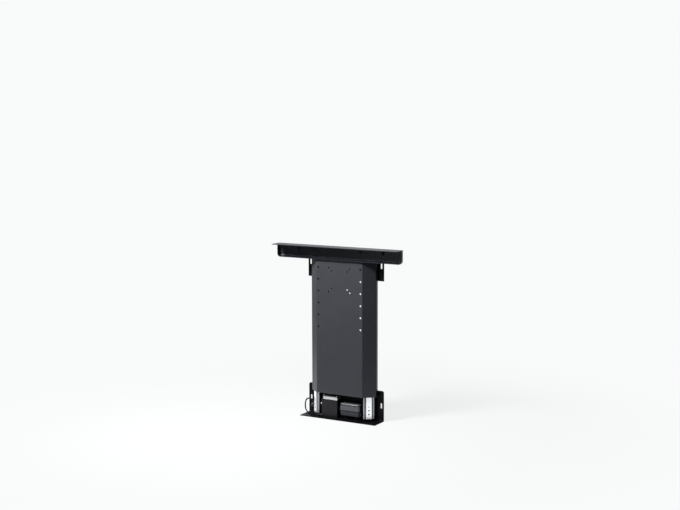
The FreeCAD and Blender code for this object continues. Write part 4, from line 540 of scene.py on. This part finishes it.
def socket(shape, part, outline, depth, taper):
    """Fills the flat top of a head, with a socket of that outline sunk into it."""
    top = part["length"]
    rim = [e for e in shape.edges if e.is_boundary and all(abs(v.co.z - top) < SAME_LEVEL for v in e.verts)]
    mouth = ring(shape, outline, top)
    bottom = ring(shape, [(x * taper, y * taper) for x, y in outline], top - depth)
    fill(shape, ([], rim), mouth)
    skin(shape, mouth, bottom)
    fill(shape, bottom)


print("a cross recess has %d corners" % len(cross(arm=1, half=0.2)))

# %% [markdown]
# ## Putting made parts in their places
# Each screw is made upright at the origin, and then stood on its measured foot and axis. All the screws of one
# imported part are gathered in one mesh, so that one piece can stand for the whole part. A finished piece is
# smoothed where its faces meet at a shallow angle, given its finish and told which body it rides on, and the
# parts it replaces are hidden.

# %% Gather made solids, and add a piece
SOFT_EDGE = 35


def stand(shape, corners, part):
    """Moves corners made round Z from the origin to a measured part's foot and axis."""
    turned = part["axis"].to_track_quat("Z", "Y").to_matrix().to_4x4()
    bmesh.ops.transform(shape, matrix=Matrix.Translation(part["foot"]) @ turned, verts=corners)


def gathered(node, axis, make):
    """Makes one shape for every loose solid of a node. axis is one direction, or a left and a right one."""
    everything = bmesh.new()
    for corners in loose_parts(node):
        part = measure(corners, axis if isinstance(axis, tuple) else axis[0 if corners[0].x < 0 else 1])
        single = bmesh.new()
        make(single, part)
        stand(single, single.verts, part)
        bmesh.ops.recalc_face_normals(single, faces=single.faces)
        one = bpy.data.meshes.new("one")
        single.to_mesh(one)
        single.free()
        everything.from_mesh(one)
        bpy.data.meshes.remove(one)
    return everything


def add_piece(name, shape, finish, body, replaced=(), smooth=SOFT_EDGE):
    bmesh.ops.recalc_face_normals(shape, faces=shape.faces)
    mesh = bpy.data.meshes.new(name)
    shape.to_mesh(mesh)
    shape.free()
    mesh.shade_smooth()
    mesh.set_sharp_from_angle(angle=math.radians(smooth))
    mesh.materials.append(finish)
    piece = bpy.data.objects.new(name, mesh)
    scene.collection.objects.link(piece)
    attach(piece, body)
    if replaced:
        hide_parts(*replaced)
    print("%s: %d faces" % (name, len(mesh.polygons)))


print("edges of up to %d degrees are shaded smooth" % SOFT_EDGE)

# %% [markdown]
# ## Screws and bolts
# Five groups of screws have a low domed head with a cross recess. The lid bracket is held by two black bolts with
# a hexagon socket. All use the same outline, with two thirds of the crown left flat for the socket, whose width
# and depth are shares of the head's own.

# %% Cross-headed screws and socket-headed bolts
SOCKET_CROWN = 0.66
CROSS_ARM, CROSS_HALF, CROSS_DEPTH, CROSS_TAPER = 0.5, 0.11, 0.7, 0.45
HEXAGON_REACH, HEXAGON_DEPTH, HEXAGON_TAPER = 0.42, 0.6, 0.96


def cross_headed(shape, part):
    turn(shape, domed(part, SOCKET_CROWN))
    outline = cross(part["head_r"] * CROSS_ARM, part["head_r"] * CROSS_HALF)
    socket(shape, part, outline, part["head_h"] * CROSS_DEPTH, CROSS_TAPER)


def hexagon_headed(shape, part):
    turn(shape, domed(part, SOCKET_CROWN))
    outline = circle(part["head_r"] * HEXAGON_REACH, count=6)
    socket(shape, part, outline, part["head_h"] * HEXAGON_DEPTH, HEXAGON_TAPER)


for node, axis, body in (("frame_screws", ALONG_Y, "frame"), ("top_bracket_screws", ALONG_Y, "frame"),
                         ("gearbox_screws", ALONG_Z, "frame"), ("base_screws", ALONG_Z, "frame"),
                         ("nut_screws", ALONG_Z, "carriage")):
    add_piece(node + "_cross_head", gathered(node, axis, cross_headed), zinc, body, (node,))
add_piece("lid_bolts_socket_head", gathered("lid_bolts", ALONG_Y, hexagon_headed), oxide, "carriage",
          ("lid_bolts",))

# %% [markdown]
# ## Rivets and chamfered nuts
# The slides are riveted to their uprights, and nuts on welded studs hold the cover to the slides. Both stand
# square to the slanting bevels, so the left and the right side have an axis each. A rivet is a dome without a
# socket. A nut's corners are turned away at both ends, which leaves a curved line on each flat. It could be a
# hexagon cut by a cone, but loops do it in one go: each corner sinks by half as far as it stands out.

# %% Rivets, and nuts with their corners turned away
BEVEL_NORMALS = [(-0.627, -0.779, 0), (0.627, -0.779, 0)]
RIVET_CROWN, RIVET_STEPS = 0.45, 20
NUT_STEPS, NUT_FACE, NUT_SINK = 48, 0.95, 0.5


def rivet(shape, part):
    turn(shape, domed(part, RIVET_CROWN) + [(0, part["length"])], RIVET_STEPS)


def nut(shape, part, flats, bore):
    """A hexagon nut between a measured foot and top. flats is its width across flats, bore a radius."""
    angles = [2 * math.pi * k / NUT_STEPS for k in range(NUT_STEPS)]
    reach = [flats / 2 / math.cos((a + math.pi / 6) % (math.pi / 3) - math.pi / 6) for a in angles]
    inside, face = [bore] * NUT_STEPS, [flats / 2 * NUT_FACE] * NUT_STEPS
    top, loops = part["length"], []
    for radii, base, up in ((inside, 0, 0), (face, 0, 0), (reach, 0, 1), (reach, top, -1), (face, top, 0),
                            (inside, top, 0)):
        corners = [shape.verts.new((r * math.cos(a), r * math.sin(a), base + up * max(r - face[0], 0) * NUT_SINK))
                   for r, a in zip(radii, angles)]
        loops.append((corners, [shape.edges.new(pair) for pair in zip(corners, corners[1:] + corners[:1])]))
    skin(shape, *loops, loops[0])


def lid_nut(shape, part):
    nut(shape, part, flats=13 * MM, bore=4.2 * MM)


def stud_nut(shape, part):
    nut(shape, part, flats=7 * MM, bore=2.1 * MM)


for name, node, axis, make, body in (("slide_rivets_domed", "slide_rivets", BEVEL_NORMALS, rivet, "frame"),
                                     ("lid_nuts_chamfered", "lid_nuts", ALONG_Y, lid_nut, "carriage"),
                                     ("stud_nuts_chamfered", "stud_nuts", BEVEL_NORMALS, stud_nut, "carriage")):
    add_piece(name, gathered(node, axis, make), zinc, body, (node,))

# %% [markdown]
# ## The spindle's thread
# The spindle is rolled with a four-start trapezoidal thread: the grooves are 4 mm apart, and each climbs 16 mm a
# turn, which is what lets a small motor lift a television fast. A Screw modifier could wind it, but spinning the
# outline of all the grooves once round, while it climbs by one lead, gives all four threads at once. The outline
# starts a lead too low and is then cut off square at both ends.

# %% Wind the thread and cut it to length
spindle_low, spindle_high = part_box("spindle")
SPINDLE_X = (spindle_low.x + spindle_high.x) / 2
SPINDLE_Y = (spindle_low.y + spindle_high.y) / 2
THREAD_FROM, THREAD_TO = 0.095, 0.68575
THREAD_R, ROOT_R, START_PITCH, THREAD_LEAD = 0.0079, 0.0066, 0.004, 0.016
ONE_GROOVE = ((ROOT_R, 0), (ROOT_R, 0.0011), (THREAD_R, 0.0018), (THREAD_R, 0.0033))
WIND_STEPS = 20

thread = bmesh.new()
outline = []
height = THREAD_FROM - THREAD_LEAD
while height < THREAD_TO + START_PITCH:
    outline += [(radius, height + up) for radius, up in ONE_GROOVE]
    height += START_PITCH
line = [thread.verts.new((radius, 0, z)) for radius, z in outline]
edges = [thread.edges.new(pair) for pair in zip(line, line[1:])]
bmesh.ops.spin(thread, geom=line + edges, cent=(0, 0, 0), axis=(0, 0, 1), angle=2 * math.pi, steps=WIND_STEPS,
               dvec=(0, 0, THREAD_LEAD / WIND_STEPS), use_duplicate=False)
bmesh.ops.remove_doubles(thread, verts=thread.verts, dist=1e-5)
for level, keep_up in ((THREAD_FROM, True), (THREAD_TO, False)):
    bmesh.ops.bisect_plane(thread, geom=thread.verts[:] + thread.edges[:] + thread.faces[:],
                           plane_co=(0, 0, level), plane_no=(0, 0, 1), clear_inner=keep_up, clear_outer=not keep_up)
bmesh.ops.holes_fill(thread, edges=[edge for edge in thread.edges if edge.is_boundary])
print("grooves along the spindle: %d" % ((THREAD_TO - THREAD_FROM) / START_PITCH))

# %% [markdown]
# ## The spindle's ends
# Below and above the thread the spindle is turned down to plain journals for its bearings, with a chamfer at each
# tip and a collar under the thread. Each is turned as a closed body of its own that reaches a hair into the
# thread. A thin film of oil keeps dust and light on the steel, so it is duller than a dry shaft.

# %% Turn the journals and give the spindle its oiled steel
JOURNAL_R, JOURNAL_TIP_R, TIP_CHAMFER = 0.004, 0.0036, 0.0004
COLLAR_R, COLLAR_FROM, COLLAR_TO = 0.005, 0.078, 0.0951
UPPER_JOURNAL_FROM = 0.6857
JOURNAL_STEPS = 32

low_z, high_z = spindle_low.z, spindle_high.z
turn(thread, [(0, low_z), (JOURNAL_TIP_R, low_z), (JOURNAL_R, low_z + TIP_CHAMFER), (JOURNAL_R, COLLAR_FROM),
              (COLLAR_R, COLLAR_FROM), (COLLAR_R, COLLAR_TO), (0, COLLAR_TO)], JOURNAL_STEPS)
turn(thread, [(0, UPPER_JOURNAL_FROM), (JOURNAL_R, UPPER_JOURNAL_FROM), (JOURNAL_R, high_z - TIP_CHAMFER),
              (JOURNAL_TIP_R, high_z), (0, high_z)], JOURNAL_STEPS)
bmesh.ops.translate(thread, vec=(SPINDLE_X, SPINDLE_Y, 0), verts=thread.verts)
oiled = new_finish("oiled_spindle_steel", roughness=0.36, metallic=1.0)
vary_colour(oiled, (96, 96, 98), (124, 124, 126), size_mm=9, detail=4)
vary_roughness(oiled, smooth=0.3, rough=0.46, size_mm=1.5, detail=3)
add_piece("spindle_threaded", thread, oiled, "spindle", ("spindle",), smooth=30)

# %% [markdown]
# ## Bearings and buffers
# The spindle runs in two shielded ball bearings. All that shows of one is an outer and an inner ring with a sunk
# shield between them, so its section has those steps and small chamfers. The rubber buffers that stop the nut's
# plate have rounded edges and a groove round the waist. Both are turned from half a section, mirrored upwards,
# which takes its bore, rim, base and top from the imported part.

# %% Turned bearings and buffers
RING_STEPS = 48
RING_CHAMFER, SHIELD_DEPTH = 0.2 * MM, 0.4 * MM
INNER_RING, OUTER_RING = 0.3, 0.22
BUFFER_EDGE, WAIST_HALF, WAIST_DEPTH = 0.6 * MM, 0.9 * MM, 0.8 * MM


def bearing_ring(bore, outside, base, top):
    """Section of a shielded ball bearing. The rings' widths are shares of the whole."""
    width = outside - bore
    inner, outer = bore + width * INNER_RING, outside - width * OUTER_RING
    half = [(bore, RING_CHAMFER), (bore + RING_CHAMFER, 0), (inner, 0), (inner + RING_CHAMFER, SHIELD_DEPTH),
            (outer - RING_CHAMFER, SHIELD_DEPTH), (outer, 0), (outside - RING_CHAMFER, 0), (outside, RING_CHAMFER)]
    return [(r, base + z) for r, z in half] + [(r, top - z) for r, z in reversed(half)]


def buffer_ring(bore, outside, base, top):
    """Section of a rubber ring with rounded edges and a groove round its waist."""
    middle = (base + top) / 2
    half = [(bore, base + BUFFER_EDGE), (bore + BUFFER_EDGE, base), (outside - BUFFER_EDGE, base),
            (outside, base + BUFFER_EDGE), (outside, middle - WAIST_HALF), (outside - WAIST_DEPTH, middle)]
    return half + [(r, base + top - z) for r, z in reversed(half[:-1])]


def round_node(node, section, finish):
    """Replaces a ring-shaped node by one turned from a section that fits it."""
    low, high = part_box(node)
    axis = Vector(((low.x + high.x) / 2, (low.y + high.y) / 2, 0))
    bore = min(math.hypot(p.co.x - axis.x, p.co.y - axis.y) for p in nodes[node].data.vertices)
    outline = section(bore, (high.x - low.x) / 2, low.z, high.z)
    shape = bmesh.new()
    turn(shape, outline + outline[:1], RING_STEPS)
    bmesh.ops.translate(shape, vec=axis, verts=shape.verts)
    add_piece(node + "_turned", shape, finish, "frame", (node,))


for node in ("lower_bearing", "upper_bearing"):
    round_node(node, bearing_ring, polished)
for node in ("lower_buffer", "upper_buffer"):
    round_node(node, buffer_ring, rubber)

# %% [markdown]
# ## The gearbox's cap
# The gearbox lid is a moulded cap whose skirt laps over the top of the bright casting, so only a band of the
# casting shows below it. A box with a bevel modifier would come close, but the cap has a hollow under it and a
# hole for the spindle. So it is a few rounded outlines at different heights, skinned together outside and inside.

# %% Cap on the gearbox
SKIRT, SKIRT_DROP, SHAFT_HOLE_R, SHAFT_HOLE_SIDES = 0.7 * MM, 2.5 * MM, 5.6 * MM, 32
CAP_CORNER, HOLLOW_CORNER, CLEARANCE = 4 * MM, 3 * MM, 0.02 * MM
CAP_EDGE = ((0, 0.9 * MM), (0.3 * MM, 0.25 * MM), (0.9 * MM, 0))
TIGHTEST_CORNER = 0.4 * MM


def rounded(low, high, radius, inset=0.0, steps=6):
    """A rectangle with rounded corners, in metres, drawn in by inset."""
    radius = max(radius - inset, TIGHTEST_CORNER)
    points = []
    for k, (x, y) in enumerate(((high[0], high[1]), (low[0], high[1]), (low[0], low[1]), (high[0], low[1]))):
        x += (radius + inset) * (1 if k in (1, 2) else -1)
        y += (radius + inset) * (1 if k in (2, 3) else -1)
        for step in range(steps + 1):
            angle = math.pi / 2 * (k + step / steps)
            points.append((x + radius * math.cos(angle), y + radius * math.sin(angle)))
    return points


case_low, case_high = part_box("gearbox_case")
lid_low, lid_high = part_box("gearbox_lid")
cap_low = (lid_low.x, case_low.y - SKIRT)
cap_high = (case_high.x + SKIRT, case_high.y + SKIRT)
hollow_low = (case_low.x - CLEARANCE, case_low.y - CLEARANCE)
hollow_high = (case_high.x + CLEARANCE, case_high.y + CLEARANCE)
skirt_z = lid_low.z - SKIRT_DROP
outer_levels = [(0, skirt_z)] + [(inset, lid_high.z - drop) for inset, drop in CAP_EDGE]

cap = bmesh.new()
outer = [ring(cap, rounded(cap_low, cap_high, CAP_CORNER, inset), z) for inset, z in outer_levels]
inner = [ring(cap, rounded(hollow_low, hollow_high, HOLLOW_CORNER), z) for z in (skirt_z, lid_low.z)]
shaft_hole = circle(SHAFT_HOLE_R, SHAFT_HOLE_SIDES, (SPINDLE_X, SPINDLE_Y))
hole = [ring(cap, shaft_hole, z) for z in (lid_low.z, lid_high.z)]
skin(cap, *outer)
skin(cap, outer[0], inner[0])
skin(cap, *inner)
skin(cap, *hole)
fill(cap, outer[-1], hole[1])
fill(cap, inner[-1], hole[0])
add_piece("gearbox_cap", cap, plastic, "frame", ("gearbox_lid",))

# %% [markdown]
# ## The control box's shells
# The control box is two thin moulded shells. Each leans in a little away from the joint, to leave its mould, and
# its far edge is well rounded. The upper shell has a groove below its top, and a tongue on the lower shell closes
# the joint. Each shell is a skin over a few outlines, from the joint to the closed face, and its faces are
# pointed outwards before the wall gets its thickness.

# %% Shells of the control box
SHELL_WALL, SHELL_CORNER, CORNER_STEPS = 1.8 * MM, 12 * MM, 10
# Each level is a height and how far the outline is drawn in there, both in mm.
UPPER_LEVELS = ((39.6, 1.6), (40.2, 0), (48, 0.3), (56, 0.7), (60.0, 1.0), (60.2, 4.6), (63.4, 4.6), (63.6, 1.0),
                (64.6, 1.1), (67.2, 2.7), (67.9, 4.0), (68.2, 5.8))
LOWER_LEVELS = ((40.6, 3.5), (36.8, 3.5), (36.2, 0.5), (28, 1.0), (20, 1.6), (17.5, 2.0), (16.2, 2.8), (15.2, 4.2),
                (14.9, 5.8))


def moulded_shell(name, node, finish, levels):
    low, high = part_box(node)
    shape = bmesh.new()
    loops = [ring(shape, rounded(low, high, SHELL_CORNER, inset * MM, CORNER_STEPS), z * MM) for z, inset in levels]
    skin(shape, *loops)
    fill(shape, loops[-1])
    bmesh.ops.recalc_face_normals(shape, faces=shape.faces)
    middle = Vector(((low.x + high.x) / 2, (low.y + high.y) / 2, (levels[0][0] + levels[-1][0]) / 2 * MM))
    face = max(shape.faces, key=lambda one: one.calc_area())
    if (face.calc_center_median() - middle).dot(face.normal) < 0:
        bmesh.ops.reverse_faces(shape, faces=shape.faces)
    bmesh.ops.solidify(shape, geom=shape.faces[:], thickness=SHELL_WALL)
    add_piece(name, shape, finish, "frame", (node,), smooth=50)


moulded_shell("control_box_upper_shell", "control_box_upper", finishes["control_box_plastic_upper"], UPPER_LEVELS)
moulded_shell("control_box_lower_shell", "control_box_lower", finishes["control_box_plastic_lower"], LOWER_LEVELS)

# %% [markdown]
# ## Pins of the mains inlet
# A mains inlet shows two bright round pins at the bottom of its dark pocket. They are turned upright, as the
# screws were, with a rounded tip, and then laid over to point out of the pocket.

# %% Pins in the mains inlet
PIN_OUTLINE = [(0, 0), (1.2 * MM, 0), (1.2 * MM, 8.4 * MM), (0.9 * MM, 9.0 * MM), (0, 9.3 * MM)]
PIN_STEPS, PIN_SINK, PIN_HALF_SPACING = 20, 10.2 * MM, 4.3 * MM

inlet_low, inlet_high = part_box("mains_inlet")
inlet_y, inlet_z = (inlet_low.y + inlet_high.y) / 2, (inlet_low.z + inlet_high.z) / 2
pins = bmesh.new()
for side in (-1, 1):
    pin_foot = Matrix.Translation((inlet_high.x - PIN_SINK, inlet_y + side * PIN_HALF_SPACING, inlet_z))
    pin = turn(pins, PIN_OUTLINE, PIN_STEPS)
    bmesh.ops.transform(pins, verts=pin, matrix=pin_foot @ Matrix.Rotation(math.pi / 2, 4, "Y"))
add_piece("mains_inlet_pins", pins, polished, "frame")

# %% [markdown]
# ## The receiver's window
# The receiver looks out through a small round window of dark red plastic, which lets the handset's light through
# and hides what is behind it. It is a shallow dome, turned and laid over to face forwards, smooth and glossier
# than anything else here.

# %% Window of the receiver
WINDOW_OUTLINE = [(0, -0.4 * MM), (4.2 * MM, -0.4 * MM), (4.2 * MM, 0.2 * MM), (3.6 * MM, 0.9 * MM),
                  (2.4 * MM, 1.5 * MM), (1.2 * MM, 1.75 * MM), (0, 1.85 * MM)]
WINDOW_STEPS, WINDOW_RAISE = 28, 0.5 * MM

window_red = new_finish("receiver_window", roughness=0.12, Specular_IOR_Level=0.6)
vary_colour(window_red, (22, 5, 8), (31, 8, 11), size_mm=4, detail=2)
vary_roughness(window_red, smooth=0.1, rough=0.16, size_mm=2)
receiver_low, receiver_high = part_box("receiver")
window_foot = Matrix.Translation(((receiver_low.x + receiver_high.x) / 2, receiver_low.y,
                                  (receiver_low.z + receiver_high.z) / 2 + WINDOW_RAISE))
window = bmesh.new()
turn(window, WINDOW_OUTLINE, WINDOW_STEPS)
bmesh.ops.transform(window, verts=window.verts, matrix=window_foot @ Matrix.Rotation(math.pi / 2, 4, "X"))
add_piece("receiver_window", window, window_red, "frame", smooth=60)

# %% [markdown]
# ## The receiver's lead
# A thin round lead runs from the remote receiver to the drive housing. It has a fixed length, so its route is
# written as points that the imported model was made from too: up out of the receiver, out past the bracket's end in
# a loop, down, and along the base plate to the gland. A quadratic NURBS curve follows such points in smooth arcs,
# and a round bevel gives it its thickness.

# %% Lay the receiver's lead
LEAD_D = 0.0055
LEAD_ROUTE = [
    (-0.15807, 0.0485, 0.044), (-0.15807, 0.0485, 0.0505), (-0.16147, 0.0468, 0.0574),
    (-0.16777, 0.0448, 0.062), (-0.17557, 0.0424, 0.0626), (-0.18277, 0.0402, 0.0592),
    (-0.18737, 0.0384, 0.0526), (-0.18897, 0.0372, 0.044), (-0.18937, 0.0362, 0.034),
    (-0.18837, 0.035, 0.0245), (-0.18517, 0.0332, 0.0162), (-0.17957, 0.0306, 0.0098),
    (-0.17177, 0.0272, 0.0061), (-0.162265, 0.0238, 0.00575), (-0.151268, 0.0206, 0.00575),
    (-0.140588, 0.0162, 0.00575), (-0.130417, 0.0106, 0.00575), (-0.120564, 0.0062, 0.00575),
    (-0.110265, 0.0052, 0.00615), (-0.1018, 0.0095, 0.0074), (-0.0945, 0.0095, 0.0074),
]

lead_curve = bpy.data.curves.new("receiver_lead_sheath", "CURVE")
lead_curve.dimensions = "3D"
lead_curve.bevel_depth = LEAD_D / 2
lead_curve.bevel_resolution = 5
lead_curve.resolution_u = 8
lead_curve.use_fill_caps = True
spline = lead_curve.splines.new("NURBS")
spline.points.add(len(LEAD_ROUTE) - 1)
for point, spot in zip(spline.points, LEAD_ROUTE):
    point.co = (*spot, 1.0)
spline.order_u = 3
spline.use_endpoint_u = True
lead = bpy.data.objects.new("receiver_lead_sheath", lead_curve)
scene.collection.objects.link(lead)
lead_curve.materials.append(sheath)
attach(lead, "frame")
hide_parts("receiver_lead")

# %% [markdown]
# ## A sheet of white paper
# The lift stands on a round sheet of white paper, wide enough to reach far behind it. It belongs to the stage,
# not to the lift.

# %% Lay the sheet on the floor
WHITE_GROUND = srgb(249, 250, 250)
SHEET_RADIUS, SHEET_SIDES = 2.2, 96

floor_mesh = bpy.data.meshes.new("floor")
floor_shape = bmesh.new()
bmesh.ops.create_circle(floor_shape, cap_ends=True, segments=SHEET_SIDES, radius=SHEET_RADIUS)
floor_shape.to_mesh(floor_mesh)
floor_shape.free()
floor = bpy.data.objects.new("floor", floor_mesh)
scene.collection.objects.link(floor)
print("white sheet: %.1f m across" % (2 * SHEET_RADIUS))

# %% [markdown]
# ## Paper that takes a shadow and has no edge
# The camera sees the sheet partly as itself, to take the lift's shadow, and partly as a plain glow in the colour
# of the surroundings, which takes over towards the rim, so that its edge never shows. All other light meets the
# paper as dark grey, so that little is thrown up at the lift from below. In a real studio the room in front of a
# product is darker than the paper behind it, and dark paint shows that. So in reflections the sheet darkens
# towards the front and far out to the sides.

# %% The paper's finish
OTHER_LIGHT_GREY = (0.08, 0.08, 0.08, 1)


def eased(owner, value, start, end, low, high):
    return spread(owner, value, start, end, low, high, easing="SMOOTHSTEP")


def compute(owner, kind, operation, *values):
    node = add_node(owner, kind)
    node.operation = operation
    for target, value in zip(node.inputs, values):
        join(owner, value, target)
    return node.outputs["Value"]


def mix_shaders(owner, factor, first, second):
    """The second shader where factor is 1, and the first where it is 0."""
    mixed = add_node(owner, "ShaderNodeMixShader")
    join(owner, factor, mixed.inputs["Fac"])
    join(owner, first, mixed.inputs[1])
    join(owner, second, mixed.inputs[2])
    return mixed.outputs["Shader"]


paper = new_finish("white_paper", roughness=0.9, Specular_IOR_Level=0.0)
vary_colour(paper, (244, 244, 245), (247, 247, 248), size_mm=400, detail=2)
spot = add_node(paper, "ShaderNodeTexCoord").outputs["Object"]
sides = add_node(paper, "ShaderNodeSeparateXYZ")
join(paper, spot, sides.inputs[0])
from_middle = compute(paper, "ShaderNodeVectorMath", "LENGTH", spot)
aside = compute(paper, "ShaderNodeMath", "ABSOLUTE", sides.outputs["X"])

glow = add_node(paper, "ShaderNodeEmission", Color=WHITE_GROUND, Strength=1.0)
grey = add_node(paper, "ShaderNodeBsdfDiffuse", Color=OTHER_LIGHT_GREY)
mirrored = add_node(paper, "ShaderNodeEmission", Color=WHITE_GROUND)
front_fade = eased(paper, sides.outputs["Y"], start=-0.48, end=-0.24, low=0.05, high=1.35)
side_fade = eased(paper, aside, start=0.95, end=1.35, low=1.0, high=0.2)
join(paper, compute(paper, "ShaderNodeMath", "MULTIPLY", front_fade, side_fade), mirrored.inputs["Strength"])

glow_share = eased(paper, from_middle, start=0.1, end=1.7, low=0.86, high=1.0)
rays = add_node(paper, "ShaderNodeLightPath").outputs
sheet = paper.node_tree.nodes["Principled BSDF"].outputs["BSDF"]
look = mix_shaders(paper, glow_share, sheet, glow.outputs["Emission"])
look = mix_shaders(paper, rays["Is Camera Ray"], grey.outputs["BSDF"], look)
look = mix_shaders(paper, rays["Is Glossy Ray"], look, mirrored.outputs["Emission"])
join(paper, look, paper.node_tree.nodes["Material Output"].inputs["Surface"])
floor_mesh.materials.append(paper)

# %% [markdown]
# ## The surroundings
# The room around the lift is white to look at and weak as light, with a bluish tint, so that the lamps alone
# shape the lift. Both in one come from asking the world which ray is looking: the camera's and those through
# glass see plain white, and reflections see white at the back that darkens towards the front, as on the sheet.

# %% The surroundings, as each kind of ray sees them
FILL_COLOUR, FILL_STRENGTH = (0.76, 0.82, 1.0, 1.0), 0.10

world = bpy.data.worlds.new("studio")
scene.world = world
world.use_nodes = True
world.node_tree.nodes.clear()
fill_light = add_node(world, "ShaderNodeBackground", Color=FILL_COLOUR, Strength=FILL_STRENGTH)
bright = add_node(world, "ShaderNodeBackground", Color=WHITE_GROUND, Strength=1.0)
mirrored = add_node(world, "ShaderNodeBackground", Color=WHITE_GROUND)
direction = add_node(world, "ShaderNodeTexCoord").outputs["Generated"]
sides = add_node(world, "ShaderNodeSeparateXYZ")
join(world, direction, sides.inputs[0])
join(world, eased(world, sides.outputs["Y"], start=0.2, end=0.75, low=0.05, high=1.0), mirrored.inputs["Strength"])
rays = add_node(world, "ShaderNodeLightPath").outputs
look = fill_light.outputs["Background"]
for ray, seen in (("Is Camera Ray", bright), ("Is Transmission Ray", bright), ("Is Glossy Ray", mirrored)):
    look = mix_shaders(world, rays[ray], look, seen.outputs["Background"])
join(world, look, add_node(world, "ShaderNodeOutputWorld").inputs["Surface"])
print("light from the surroundings: %.2f" % FILL_STRENGTH)

# %% [markdown]
# ## The lamps
# The key is one soft lamp, a little over two metres off, to the left, in front and above. From there it is just
# steep enough for the lid bracket's plate to shade its own web, while the cover below is lit up to its top edge.
# Being near, it lights the cover's top a little more than its foot, and its shadow fades as it runs away. A
# second, much weaker and wider lamp stands low in front and lifts the darkest recesses. Watts say little about a
# lamp's effect, so each lamp is given by how bright it makes white paper that faces it.

# %% The key lamp and a weak lamp low in front
LAMP_AIM = Vector((0.0, 0.0, 0.40))
KEY_AT, KEY_LEVEL, KEY_SIZE = Vector((-0.80, -1.33, 1.95)), 1.8, 0.6
LOW_AT, LOW_LEVEL, LOW_SIZE = Vector((-0.6, -3.2, 0.45)), 0.10, 1.2


def place_lamp(name, at, level, size):
    """A round lamp aimed at the lift. level is how bright white paper facing it would be, next to full white."""
    data = bpy.data.lights.new(name, "AREA")
    data.shape = "DISK"
    data.size = size
    data.energy = level * math.pi ** 2 * (at - LAMP_AIM).length_squared
    lamp = bpy.data.objects.new(name, data)
    lamp.matrix_world = Matrix.Translation(at) @ (at - LAMP_AIM).to_track_quat("Z", "Y").to_matrix().to_4x4()
    scene.collection.objects.link(lamp)
    print("%s lamp: %.0f W at %.2f m" % (name, data.energy, (at - LAMP_AIM).length))


place_lamp("key", KEY_AT, KEY_LEVEL, KEY_SIZE)
place_lamp("low", LOW_AT, LOW_LEVEL, LOW_SIZE)

# %% [markdown]
# ## Plain colours
# The Standard view transform shows each colour as it was chosen, where a filmic one would grey the white ground.

# %% Colour settings
scene.view_settings.view_transform = "Standard"
